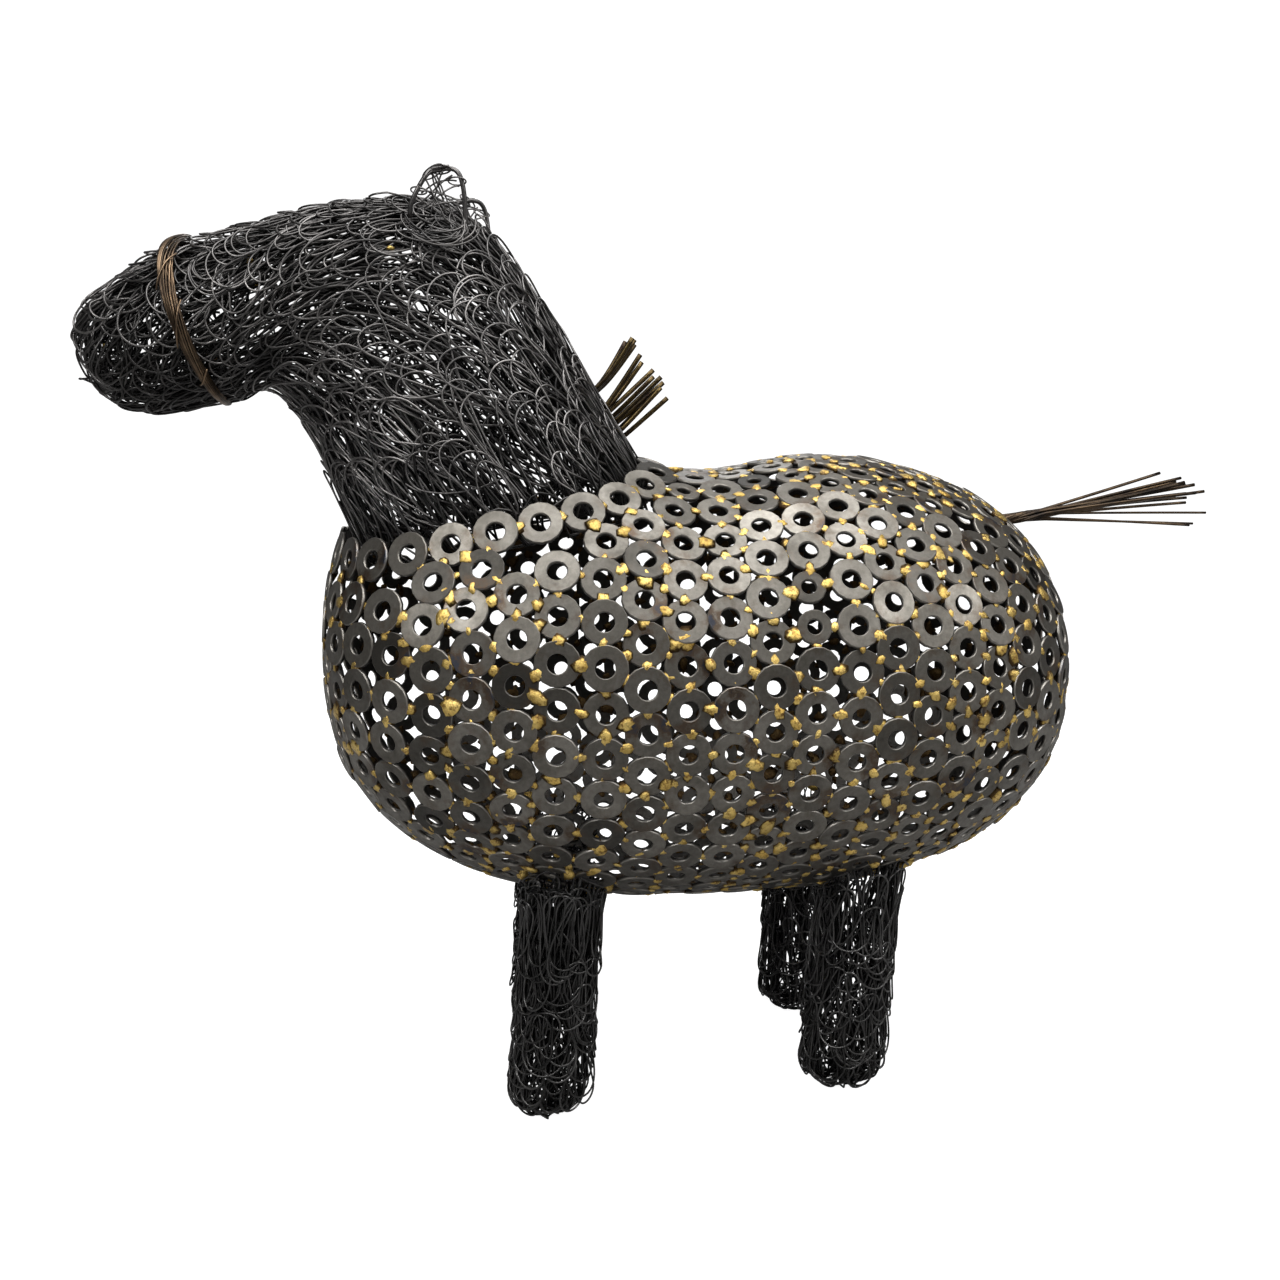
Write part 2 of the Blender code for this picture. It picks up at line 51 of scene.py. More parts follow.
BODY_MID_X, BODY_MID_Z = -0.0029, 0.261
CHEST_RISE = 0.0190
CHEST_BLUNTNESS, RUMP_BLUNTNESS = 2.82, 2.76
SADDLE_DEPTH, SADDLE_SPREAD = 0.0132, 0.055
COLLAR_MID_X, COLLAR_LENGTH, COLLAR_WIDTH = -0.1275, 0.189, 0.180

# Washers and their brazing
WASHER_RADIUS, SMALL_WASHER_RADIUS = 0.0127, 0.0098
HOLE_SHARE = 0.435
WASHER_THICKNESS = 0.0025
WASHER_EDGE = 0.0005
WASHER_PITCH = 0.0252
COLLAR_RISE, COLLAR_LEAN, COLLAR_SQUARE = 0.0008, 0.55, 2.5
HEAT_REACH, HOT_SHARE, BURNT_SHARE = 0.0115, 0.08, 0.10
JOINT_REACH, JOINT_SHARE, EXTRA_LUMPS = 1.13, 0.98, 70
LUMP_LONG, LUMP_WIDE, LUMP_TALL = 0.0042, 0.0037, 0.0018
BUMP_DEPTH = 0.0004
HEAD_SPECKS = np.array([(-0.2635, -0.036, 0.506), (-0.2610, -0.038, 0.494), (-0.2785, -0.036, 0.492),
                        (-0.3470, -0.022, 0.460), (-0.1860, -0.048, 0.513)])
CHEST_END_X, RUMP_START_X = -0.075, 0.055

# Neck and head: throat x, z, crest x, z and half width of each section; the last two close the muzzle
SECTIONS = np.array((
    (-0.2180, 0.3400, -0.0365, 0.3740, 0.0845),
    (-0.2185, 0.3530, -0.0370, 0.3880, 0.0855),
    (-0.2300, 0.3860, -0.0640, 0.4310, 0.0770),
    (-0.2440, 0.4180, -0.0930, 0.4810, 0.0660),
    (-0.2580, 0.4340, -0.1240, 0.5240, 0.0590),
    (-0.2660, 0.4350, -0.1600, 0.5460, 0.0560),
    (-0.2720, 0.4320, -0.2120, 0.5450, 0.0530),
    (-0.2770, 0.4300, -0.2650, 0.5320, 0.0490),
    (-0.2860, 0.4285, -0.3090, 0.5190, 0.0455),
    (-0.3040, 0.4245, -0.3330, 0.5080, 0.0435),
    (-0.3260, 0.4222, -0.3490, 0.4960, 0.0390),
    (-0.3450, 0.4260, -0.3600, 0.4860, 0.0310),
    (-0.3585, 0.4375, -0.3665, 0.4750, 0.0190),
    (-0.3620, 0.4465, -0.3680, 0.4665, 0.0115),
    (-0.3652, 0.4560, -0.3654, 0.4565, 0.0010),
))
MUZZLE_X = -0.3685
WIRE, DEEP_WIRE = 0.00125, 0.0015
DEEP = (-0.009, -0.005)
HEAD_START = 4.2
NOSEBAND_STATION = 8.0

# Ears
EAR_HEIGHT, EAR_WIDTH = 0.0295, 0.031
EAR_CUP, EAR_SPREAD, EAR_STAGGER = 0.006, 0.042, 0.016
EAR_BASE_X, EAR_BASE_Z, EAR_BASE_SLOPE = -0.1600, 0.5265, 0.38
EAR_FRAME_WIRE, EAR_MESH_WIRE = 0.0027, 0.0010

# Mane and tail
MANE_TOP_STATION, MANE_LOW_STATION = 2.12, 1.51
MANE_ROD = 0.0030
TAIL_RISE_SHARE = 0.67
TAIL_ROOT_LENGTH, TAIL_ROD, TAIL_ROD_LENGTH = 0.018, 0.0022, 0.1245
TAIL_LIFT = np.radians(6.0)

# Legs: each one's foot x, foot y, lean of its top along x and y, and width
LEGS = {
    "front_left_leg": (-0.105, -0.060, 0.010, 0.0, 0.053),
    "front_right_leg": (-0.097, 0.060, 0.008, 0.0, 0.053),
    "rear_left_leg": (0.0835, -0.050, 0.006, -0.008, 0.0560),
    "rear_right_leg": (0.0848, 0.060, 0.0, 0.0, 0.0560),
}
LEG_WAIST, FOOT_FLAT, FOOT_ROUND, GROUND_Z = 0.05, 0.028, 0.0165, 0.003

# Camera, from the photograph: distance in pixels to the picture plane, turn and tilt in degrees
CAMERA_AT = (-0.160, -0.811, 0.415)
CAMERA_TURN, CAMERA_TILT = -8.46, 9.28
FOCAL_PIXELS, IMAGE_PIXELS, SENSOR = 1310, 1280, 36

SHIFT = Vector((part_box("neck_and_head")[0].x - MUZZLE_X, 0, -GROUND_Z))


def unit(vectors):
    """Vectors of length one, along the last axis."""
    return vectors / np.maximum(np.linalg.norm(vectors, axis=-1, keepdims=True), 1e-12)


def new_object(name, data):
    """An object in the scene."""
    made = bpy.data.objects.new(name, data)
    bpy.context.scene.collection.objects.link(made)
    return made


def add_piece(name, points, faces, material, slot, nodes=(), flat=None, **values):
    """A mesh piece that rides on the one body; flat marks the faces that aren't smooth, and values
    are attributes with one number a vertex."""
    mesh = bpy.data.meshes.new(name)
    mesh.from_pydata((points + np.array(SHIFT)).tolist(), [], faces)
    smooth = np.ones(len(faces), bool) if flat is None else ~flat
    mesh.polygons.foreach_set("use_smooth", smooth)
    for value, numbers in values.items():
        mesh.attributes.new(value, "FLOAT", "POINT").data.foreach_set("value", np.ravel(numbers))
    mesh.materials.append(material)
    mesh.update()
    made = new_object(name, mesh)
    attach(made, "root")
    if nodes:
        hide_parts(*nodes)


# Surfaces

def body_line(x):
    """At each x: how far along to the body's end, the middle line's height, the saddle's dip, which is
    a bell curve, and how blunt that end is."""
    along = (x - BODY_MID_X) / (BODY_LENGTH / 2)
    centre = BODY_MID_Z + CHEST_RISE * np.clip(-along, 0, None) ** 2
    dip = SADDLE_DEPTH * np.exp(-(((x - BODY_MID_X) / SADDLE_SPREAD) ** 2))
    return along, centre, dip, np.where(along < 0, CHEST_BLUNTNESS, RUMP_BLUNTNESS)


def body_value(points):
    """1 on the body's face: the sum of (distance along)^blunt and (distance across)^blunt, to the
    power 1/blunt, with the middle line raised toward the chest and the top dipped at the saddle."""
    x, y, z = points[..., 0], points[..., 1], points[..., 2]
    along, centre, dip, blunt = body_line(x)
    half = BODY_HEIGHT / 2 - np.where(z > centre, dip, 0)
    across = np.hypot(y / (BODY_WIDTH / 2), (z - centre) / half)
    return (np.abs(along) ** blunt + across**blunt) ** (1 / blunt)


def on_body(points):
    """Each point moved along its line from the body's middle until body_value is 1, by halving."""
    middle = np.array([BODY_MID_X, 0, BODY_MID_Z])
    rays = unit(points - middle)
    near, far = np.zeros(points.shape[:-1]), np.full(points.shape[:-1], BODY_LENGTH)
    for _ in range(30):
        reach = (near + far) / 2
        inside = body_value(middle + rays * reach[..., None]) < 1
        near, far = np.where(inside, reach, near), np.where(inside, far, reach)
    return middle + rays * near[..., None]


def body_normals(points):
    """The direction in which body_value grows fastest, from small steps along the three axes."""
    step = 1e-5
    slope = [body_value(points + step * axis) - body_value(points - step * axis) for axis in np.eye(3)]
    return unit(np.stack(slope, -1))


def body_height(x, y, side):
    """Height of the body's top (side 1) or belly (side -1): the middle line plus the half height
    times the root of girth squared less (2y / width) squared."""
    along, centre, dip, blunt = body_line(x)
    girth = np.clip(1 - np.abs(along) ** blunt, 0, 1) ** (1 / blunt)
    rise = np.sqrt(np.clip(girth**2 - (2 * y / BODY_WIDTH) ** 2, 0, None))
    return centre + side * (BODY_HEIGHT / 2 - dip * (side > 0)) * rise


def section_at(station):
    """The five numbers of a neck or head section at any station, on a Catmull-Rom curve."""
    ends = [2 * SECTIONS[:1] - SECTIONS[1:2], SECTIONS, 2 * SECTIONS[-1:] - SECTIONS[-2:-1]]
    table = np.concatenate(ends)
    i = np.clip(np.floor(station).astype(int), 0, len(SECTIONS) - 2)
    t = (station - i)[..., None]
    p0, p1, p2, p3 = table[i], table[i + 1], table[i + 2], table[i + 3]
    bend = (2 * p0 - 5 * p1 + 4 * p2 - p3) * t**2 + (3 * p1 - p0 - 3 * p2 + p3) * t**3
    return p1 + ((p2 - p0) * t + bend) / 2


def neck_surface(station, turn):
    """A point of the neck or head: the section's middle, plus cos(turn) toward the crest, plus
    sin(turn) times the half width along Y. Turn 0 is the crest, and the pony's left is negative."""
    throat_x, throat_z, crest_x, crest_z, half = np.moveaxis(section_at(station), -1, 0)
    lean = np.cos(turn) / 2
    x = (throat_x + crest_x) / 2 + lean * (crest_x - throat_x)
    z = (throat_z + crest_z) / 2 + lean * (crest_z - throat_z)
    return np.stack([x, half * np.sin(turn), z], -1)


def leg_surface(foot_x, foot_y, lean_x, lean_y, width):
    """A surface for one leg. Its first number is the way in metres from the middle of the sole, out
    along the flat, up the rounded edge and up the wall, and its second is the angle round the leg."""
    radius, flat = width / 2, FOOT_FLAT / 2
    edge = np.linspace(0, np.pi / 2, 24)
    wall = np.linspace(FOOT_ROUND, 0.2, 30)[1:]
    out = np.concatenate([[0], flat + (radius - flat) * np.sin(edge), np.full(len(wall), radius)])
    up = np.concatenate([[0], FOOT_ROUND * (1 - np.cos(edge)), wall])
    top = body_height(foot_x + lean_x, foot_y + lean_y, -1) - GROUND_Z
    waist = 1 - LEG_WAIST * np.sin(np.pi * np.clip(up / top, 0, 1)) ** 2
    way = np.concatenate([[0], np.cumsum(np.hypot(np.diff(out), np.diff(up)))])

    def surface(along, turn):
        reach, height = np.interp(along, way, out * waist), np.interp(along, way, up)
        x = foot_x + lean_x * height / top + reach * np.cos(turn)
        y = foot_y + lean_y * height / top + reach * np.sin(turn)
        return np.stack([x, y, np.minimum(height + GROUND_Z, body_height(x, y, -1) - 0.001)], -1)

    return surface


def slopes(surface, along, turn, step):
    """How fast a surface's point moves with its first and second number, by small steps."""
    first = (surface(along + step, turn) - surface(along - step, turn)) / (2 * step)
    second = (surface(along, turn + 1e-3) - surface(along, turn - 1e-3)) / 2e-3
    return first, second


# Wires

def tubes(paths, up, radius, sides=5):
    """Round wires: at each point of each path a ring of radius r, point + r (cos a side + sin a up),
    where side is square to the path and to up. Both ends are closed."""
    count, length = paths.shape[:2]
    ahead = unit(np.gradient(paths, axis=1))
    side = unit(np.cross(ahead, up))
    over = np.cross(side, ahead)
    turn = 2 * np.pi * np.arange(sides) / sides
    radius = np.broadcast_to(np.asarray(radius, float), (count, length))[..., None, None]
    ring = np.cos(turn)[:, None] * side[:, :, None] + np.sin(turn)[:, None] * over[:, :, None]
    points = (paths[:, :, None] + radius * ring).reshape(-1, 3)
    start = np.arange(count)[:, None] * length * sides
    here = (start[..., None] + np.arange(length - 1)[:, None] * sides + np.arange(sides)).reshape(-1)
    after = (start[..., None] + np.arange(length - 1)[:, None] * sides + (np.arange(sides) + 1) % sides)
    after = after.reshape(-1)
    walls = np.stack([here, here + sides, after + sides, after], 1).tolist()
    first = (start + np.arange(sides)).tolist()
    last = (start + (length - 1) * sides + np.arange(sides)[::-1]).tolist()
    return points, walls + first + last, len(walls)


def add_wires(name, groups, material, slot, nodes=(), seed=1, sides=5, fade=0.0):
    """One piece of many wires. Each group is (paths, up, radius, low tone, high tone), and each wire
    gets its own tone between the two: the deeper layers get darker tones, as painted shade. The tone
    falls by the share fade toward both ends, with the way from the wire's middle to the power 1.5, a painted
    shade on the tucked tails."""
    rng = np.random.default_rng(seed)
    points, faces, tones, flat, count = [], [], [], [], 0
    for paths, up, radius, low, high in groups:
        made, quads, walls = tubes(paths, up, radius, sides)
        points.append(made)
        faces += [[i + count for i in quad] for quad in quads]
        # painted shade: the tone falls toward the wire's ends, the tails that tuck under
        painted_tail_shade = 1 - fade * np.abs(np.linspace(-1, 1, paths.shape[1])) ** 1.5
        tones.append(np.repeat(np.outer(rng.uniform(low, high, len(paths)), painted_tail_shade), sides))
        flat += [False] * walls + [True] * (len(quads) - walls)
        count += len(made)
    add_piece(name, np.concatenate(points), faces, material, slot, nodes,
              flat=np.array(flat), tone=np.concatenate(tones))


def scatter(surface, rng, count, low, high, step, turns=(-np.pi, np.pi)):
    """Places spread evenly over a surface by area: cells of a fine grid are put in a row, and every
    1/count of their summed area takes one place, at random within its cell."""
    along = np.linspace(low, high, 161)
    turn = np.linspace(*turns, 97)
    cell_a, cell_t = np.meshgrid((along[1:] + along[:-1]) / 2, (turn[1:] + turn[:-1]) / 2, indexing="ij")
    first, second = slopes(surface, cell_a, cell_t, step)
    total = np.cumsum(np.linalg.norm(np.cross(first, second), axis=-1).ravel())
    pick = (np.arange(count) + rng.random(count)) / count * total[-1]
    cell = np.minimum(np.searchsorted(total, pick), total.size - 1)
    jitter = rng.random((2, count)) - 0.5
    return (cell_a.ravel()[cell] + jitter[0] * (along[1] - along[0]),
            cell_t.ravel()[cell] + jitter[1] * (turn[1] - turn[0]))


def wire_loops(surface, rng, along, turn, heading, width, nose, tail, points, arc_share,
               base=(-0.0034, -0.0008), lift=0.0011, tuck=0.0030, roll=0.0015, flare=(-0.8, 0.4),
               limits=(-9, 9), step=0.01):
    """U-shaped wires laid on a surface. A loop is half an ellipse, nose long and width wide, whose two
    ends run back as tails that bend in or out with the square of the way. It lies at a depth within
    base, its nose lifted and its tails tucked under, and is tipped sideways by up to roll. Widths,
    noses and tails are one number a loop."""
    count = len(along)
    k = np.linspace(-1, 1, points)[None]
    hand = np.where(k < 0, -1.0, 1.0)
    arc = np.clip(k / arc_share, -1, 1) * np.pi / 2
    past = np.clip((np.abs(k) - arc_share) / (1 - arc_share), 0, 1)

    def each_tail(low, high):
        pair = rng.uniform(low, high, (count, 2))
        return np.where(k < 0, pair[:, :1], pair[:, 1:])

    width, nose, tail = (np.broadcast_to(v, count)[:, None] for v in (width, nose, tail))
    forward = nose * np.cos(arc) - tail * past * each_tail(0.6, 1.3) + tail * 0.3
    across = width * np.sin(arc) + hand * tail * 0.42 * each_tail(*flare) * past**2
    heading = heading[:, None]
    turned = (forward * np.cos(heading) - across * np.sin(heading),
              forward * np.sin(heading) + across * np.cos(heading))
    first, second = slopes(surface, along, turn, step)
    stretch = np.linalg.norm(first, axis=-1)[:, None], np.linalg.norm(second, axis=-1)[:, None]
    a = np.clip(along[:, None] + turned[0] / stretch[0], *limits)
    b = turn[:, None] + turned[1] / stretch[1]
    out_first, out_second = slopes(surface, a, b, step)
    normal = unit(np.cross(out_second, out_first))
    tip = rng.uniform(-roll, roll, (count, 1))
    off = rng.uniform(*base, (count, 1)) + lift * np.cos(arc) * (1 - past) - tuck * past + tip * np.sin(arc)
    return surface(a, b) + normal * off[..., None], normal


# Materials

def new_group(name, inputs, outputs):
    """An empty shader node group with named inputs as (name, kind, default) and outputs."""
    tree = bpy.data.node_groups.new(name, "ShaderNodeTree")
    for label, kind, value in inputs:
        socket = tree.interface.new_socket(label, in_out="INPUT", socket_type="NodeSocket" + kind)
        if value is not None:
            socket.default_value = value
    for label, kind in outputs:
        tree.interface.new_socket(label, in_out="OUTPUT", socket_type="NodeSocket" + kind)
    return tree, tree.nodes.new("NodeGroupInput"), tree.nodes.new("NodeGroupOutput")


def put(tree, kind, inputs=None, **settings):
    """One node: settings are its properties, and inputs give each socket a value or a link."""
    made = tree.nodes.new("ShaderNode" + kind)
    for key, value in settings.items():
        setattr(made, key, value)
    for key, value in (inputs or {}).items():
        if isinstance(value, bpy.types.NodeSocket):
            tree.links.new(value, made.inputs[key])
        else:
            made.inputs[key].default_value = value
    return made


def noise(tree, place, scale, detail=3.0, rough=0.55):
    """A noise value from 0 to 1 at a place."""
    return put(tree, "TexNoise",
               {"Vector": place, "Scale": scale, "Detail": detail, "Roughness": rough}).outputs["Fac"]


def own_value(tree, name):
    """One of the piece's own values, from its mesh."""
    return put(tree, "Attribute", attribute_name=name).outputs["Fac"]


def times(tree, first, second, plus=0.0):
    """The product of two values, plus a third."""
    return put(tree, "Math", {0: first, 1: second, 2: plus}, operation="MULTIPLY_ADD").outputs[0]


def spread(tree, value, low, high, to_low=0.0, to_high=1.0):
    """A value stretched from one range to another, and kept inside it."""
    return put(tree, "MapRange", {"Value": value, "From Min": low, "From Max": high,
                                  "To Min": to_low, "To Max": to_high}).outputs["Result"]


def blend(tree, share, first, second, kind="MIX"):
    """Two colours mixed by a share."""
    made = put(tree, "Mix", data_type="RGBA", blend_type=kind)
    for socket, value in ((made.inputs[0], share), (made.inputs[6], first), (made.inputs[7], second)):
        if isinstance(value, bpy.types.NodeSocket):
            tree.links.new(value, socket)
        else:
            socket.default_value = value
    return made.outputs[2]


def mottle_group():
    """Uneven metal colour: a broad noise picks between two tones, a finer one speckles them, and the
    piece's own tone value lightens or darkens it. It gives a colour, a roughness and a height."""
    tree, given, made = new_group(
        "mottled_metal",
        [("Place", "Vector", None), ("Tone", "Float", 0.5), ("Scale", "Float", 30.0),
         ("Light", "Color", (0.2, 0.2, 0.2, 1)), ("Dark", "Color", (0.1, 0.1, 0.1, 1)),
         ("Smooth", "Float", 0.35), ("Rough", "Float", 0.55)],
        [("Color", "Color"), ("Roughness", "Float"), ("Height", "Float")])
    broad = noise(tree, given.outputs["Place"], given.outputs["Scale"])
    fine = noise(tree, given.outputs["Place"], times(tree, given.outputs["Scale"], 9.0), 4.0, 0.65)
    patch = spread(tree, broad, 0.35, 0.68)
    colour = blend(tree, patch, given.outputs["Light"], given.outputs["Dark"])
    speck = spread(tree, fine, 0.3, 0.75, 1.18, 0.78)
    toned = spread(tree, given.outputs["Tone"], 0.0, 1.0, 0.10, 1.3)
    shade = {0: colour, "Scale": times(tree, speck, toned)}
    scaled = put(tree, "VectorMath", shade, operation="SCALE").outputs[0]
    rough = spread(tree, times(tree, patch, fine), 0.0, 0.7, given.outputs["Smooth"], given.outputs["Rough"])
    tree.links.new(scaled, made.inputs["Color"])
    tree.links.new(rough, made.inputs["Roughness"])
    tree.links.new(fine, made.inputs["Height"])
    return tree


def metal(name, mottle, scale, light, dark, smooth, rough, bump, metallic=0.9, finish=None):
    """A Principled metal on Object coordinates whose colour, roughness and bump come from the mottle
    group. finish(tree, colour, place) may lay more colour over it."""
    made = bpy.data.materials.new(name)
    made.use_nodes = True
    tree = made.node_tree
    shader = tree.nodes["Principled BSDF"]
    place = put(tree, "TexCoord").outputs["Object"]
    tone = own_value(tree, "tone")
    look = put(tree, "Group", node_tree=mottle)
    for key, value in (("Place", place), ("Tone", tone)):
        tree.links.new(value, look.inputs[key])
    for key, value in (("Scale", scale), ("Light", (*light, 1)), ("Dark", (*dark, 1)),
                       ("Smooth", smooth), ("Rough", rough)):
        look.inputs[key].default_value = value
    colour = look.outputs["Color"]
    if finish:
        colour = finish(tree, colour, place)
    tree.links.new(colour, shader.inputs["Base Color"])
    tree.links.new(look.outputs["Roughness"], shader.inputs["Roughness"])
    if bump:
        lump = put(tree, "Bump",
                   {"Height": look.outputs["Height"], "Strength": bump, "Distance": BUMP_DEPTH})
        tree.links.new(lump.outputs["Normal"], shader.inputs["Normal"])
    shader.inputs["Metallic"].default_value = metallic
    return made


def heat_tint_highlight_and_shade(tree, colour, place):
    """Brazing heat on the washers: straw brown, then blue grey nearest the braze. The bevelled edges
    are lightened as a painted highlight, and the faces that look into the body darkened as painted shade."""
    warmth = own_value(tree, "warmth")
    edge = own_value(tree, "edge")
    ragged = spread(tree, noise(tree, place, 190.0, 4.0, 0.7), 0.36, 0.64, 0.25, 1.0)
    felt = times(tree, warmth, ragged)
    straw = spread(tree, felt, 0.10, 0.38, 0.0, 0.92)
    blue = spread(tree, felt, 0.42, 0.72, 0.0, 0.92)
    colour = blend(tree, straw, colour, (0.075, 0.051, 0.034, 1))
    colour = blend(tree, blue, colour, (0.036, 0.041, 0.054, 1))
    # painted highlight: the bevelled edges lightened toward pale grey
    colour = blend(tree, spread(tree, edge, 0.2, 1.0, 0.0, 0.5), colour, (0.42, 0.40, 0.37, 1))
    # painted shade: the faces that look into the body darkened nearly to black
    inner = own_value(tree, "inner")
    return blend(tree, spread(tree, inner, 0.3, 0.9, 0.0, 0.8), colour, (0.022, 0.021, 0.02, 1))


def scorch(tree, colour, place):
    """Brown, porous patches in the brass, and dark brown skirts."""
    patch = noise(tree, place, 400.0, 3.0, 0.7)
    colour = blend(tree, spread(tree, patch, 0.50, 0.64, 0.0, 0.85), colour, (0.19, 0.095, 0.028, 1))
    skirt = own_value(tree, "skirt")
    burnt = times(tree, patch, 0.9, skirt)
    return blend(tree, spread(tree, burnt, 0.75, 1.15, 0.0, 0.95), colour, (0.035, 0.018, 0.008, 1))


mottle = mottle_group()
washer_steel = metal("satin_washer_steel", mottle, 42.0, (0.152, 0.142, 0.125), (0.090, 0.083, 0.071),
                     0.38, 0.54, 0.25, 0.9, heat_tint_highlight_and_shade)
brass = metal("brazing_brass", mottle, 160.0, (0.71, 0.52, 0.17), (0.50, 0.33, 0.08),
              0.32, 0.54, 1.0, 0.9, scorch)
black_wire = metal("black_annealed_wire", mottle, 50.0, (0.158, 0.150, 0.145), (0.068, 0.065, 0.064),
                   0.31, 0.46, 0, 0.85)
leg_wire = metal("black_leg_wire", mottle, 50.0, (0.098, 0.095, 0.093), (0.042, 0.041, 0.040),
                 0.29, 0.43, 0, 0.85)
band_bronze = metal("noseband_bronze", mottle, 90.0, (0.185, 0.126, 0.078), (0.055, 0.038, 0.026),
                    0.28, 0.45, 0)
mane_bronze = metal("mane_bronze", mottle, 70.0, (0.100, 0.070, 0.026), (0.022, 0.014, 0.011), 0.32, 0.5, 0.3)
tail_bronze = metal("tail_bronze", mottle, 70.0, (0.078, 0.052, 0.030), (0.020, 0.015, 0.012), 0.32, 0.48, 0)


# Washer body

def way_along(line):
    """The way along a line of points, from 0 at its start."""
    return np.concatenate([[0], np.cumsum(np.linalg.norm(np.diff(line, axis=0), axis=1))])


def line_at(share, way, line):
    """Points of a line at given ways along it."""
    return np.stack([np.interp(share, way, line[:, i]) for i in range(3)], 1)


def washer_rows():
    """First places of the washers: girth rings at even steps along the body's side line, each ring
    shared out evenly. Rings line up on the chest, step by half a washer on the rump, and start
    anywhere between the two."""
    rng = np.random.default_rng(11)
    half = np.linspace(0, 1, 400)
    reach = np.concatenate([-half[::-1], half[1:]])
    blunt = np.where(reach < 0, CHEST_BLUNTNESS, RUMP_BLUNTNESS)
    girth = (1 - np.abs(reach) ** blunt) ** (1 / blunt)
    side = np.stack([reach * BODY_LENGTH / 2, girth * BODY_WIDTH / 2], 1)
    way = way_along(side)
    turn = np.linspace(0, 2 * np.pi, 721)
    found, at, row = [], WASHER_PITCH * 0.55, 0
    while at < way[-1] - WASHER_PITCH * 0.3:
        x = BODY_MID_X + np.interp(at, way, reach) * BODY_LENGTH / 2
        wide = np.interp(at, way, girth)
        centre = BODY_MID_Z + CHEST_RISE * max(-np.interp(at, way, reach), 0) ** 2
        ring = np.stack([np.full(721, x), wide * np.sin(turn) * BODY_WIDTH / 2,
                         centre + wide * np.cos(turn) * BODY_HEIGHT / 2], 1)
        round_way = way_along(ring)
        count = max(int(round(round_way[-1] / WASHER_PITCH)), 1)
        phase = 0.5 if x < CHEST_END_X else row % 2 / 2 if x > RUMP_START_X else rng.random()
        share = (np.arange(count) + phase) / count * round_way[-1]
        found.append(line_at(share, round_way, ring))
        at += WASHER_PITCH * (0.985 if x < CHEST_END_X else 0.885 if x > RUMP_START_X else 0.93)
        row += 1
    return on_body(np.concatenate(found))


def collar_row():
    """Washers side by side round the neck, on a superellipse a little wider and squarer than the
    collar's ellipse, and raised, as they lean on the neck."""
    turn = np.linspace(0, 2 * np.pi, 1441)
    grow, power = 0.0022, 2 / COLLAR_SQUARE
    x = COLLAR_MID_X - (COLLAR_LENGTH / 2 + grow) * np.sign(np.cos(turn)) * np.abs(np.cos(turn)) ** power
    y = (COLLAR_WIDTH / 2 + grow) * np.sign(np.sin(turn)) * np.abs(np.sin(turn)) ** power
    ring = np.stack([x, y, body_height(x, y, 1) + COLLAR_RISE], 1)
    way = way_along(ring)
    count = int(way[-1] / WASHER_PITCH)
    share = np.arange(count) / count * way[-1]
    return line_at(share, way, ring)


def in_collar(points, grow):
    """Whether points of the body's top lie inside the collar's ellipse, widened by grow."""
    x = (points[:, 0] - COLLAR_MID_X) / (COLLAR_LENGTH / 2 + grow)
    y = points[:, 1] / (COLLAR_WIDTH / 2 + grow)
    return (x**2 + y**2 < 1) & (points[:, 2] > BODY_MID_Z)


def apart(points, others):
    """Every distance between two sets of points."""
    return np.linalg.norm(points[:, None] - others[None], axis=-1)


def place_washers():
    """Washer centres on the body and their radii. Neighbours that crowd push each other apart and
    near ones draw together. A place that stays crowded takes a small washer or none, and a bare
    spot gets one."""
    rng = np.random.default_rng(5)
    fixed = collar_row()
    loose = washer_rows()
    loose = loose[~in_collar(loose, 0.020)]
    for round_count in (70, 30, 30):
        for _ in range(round_count):
            centres = np.concatenate([fixed, loose])
            gap = loose[:, None] - centres[None]
            dist = np.linalg.norm(gap, axis=-1)
            dist[np.arange(len(loose)), len(fixed) + np.arange(len(loose))] = 1
            push = np.clip(WASHER_PITCH - dist, 0, None) * 0.5
            close = (dist > WASHER_PITCH) & (dist < WASHER_PITCH * 1.22)
            draw = np.where(close, WASHER_PITCH - dist, 0) * 0.05
            loose = on_body(loose + 0.7 * (gap / dist[..., None] * (push + draw)[..., None]).sum(1))
        loose = loose[~in_collar(loose, 0.012)]
        trial = on_body(rng.normal(0, 1, (6000, 3)) * [0.2, 0.13, 0.13] + [BODY_MID_X, 0, BODY_MID_Z])
        trial = trial[~in_collar(trial, 0.010)]
        for _ in range(25):
            bare = apart(trial, np.concatenate([fixed, loose])).min(1)
            if bare.max() < 0.0200:
                break
            loose = np.concatenate([loose, trial[[bare.argmax()]]])
    centres = np.concatenate([fixed, loose])
    radius = np.full(len(centres), WASHER_RADIUS)
    keep = np.ones(len(centres), bool)
    near = apart(centres, centres) + np.eye(len(centres))
    for i in np.argsort(near.min(1)):
        if i < len(fixed):
            continue
        room = (near[i] - radius)[keep & (np.arange(len(centres)) != i)].min()
        if room < WASHER_RADIUS * 0.62:
            keep[i] = False
        elif room < WASHER_RADIUS * 0.86:
            radius[i] = SMALL_WASHER_RADIUS
    return centres[keep], radius[keep], len(fixed)


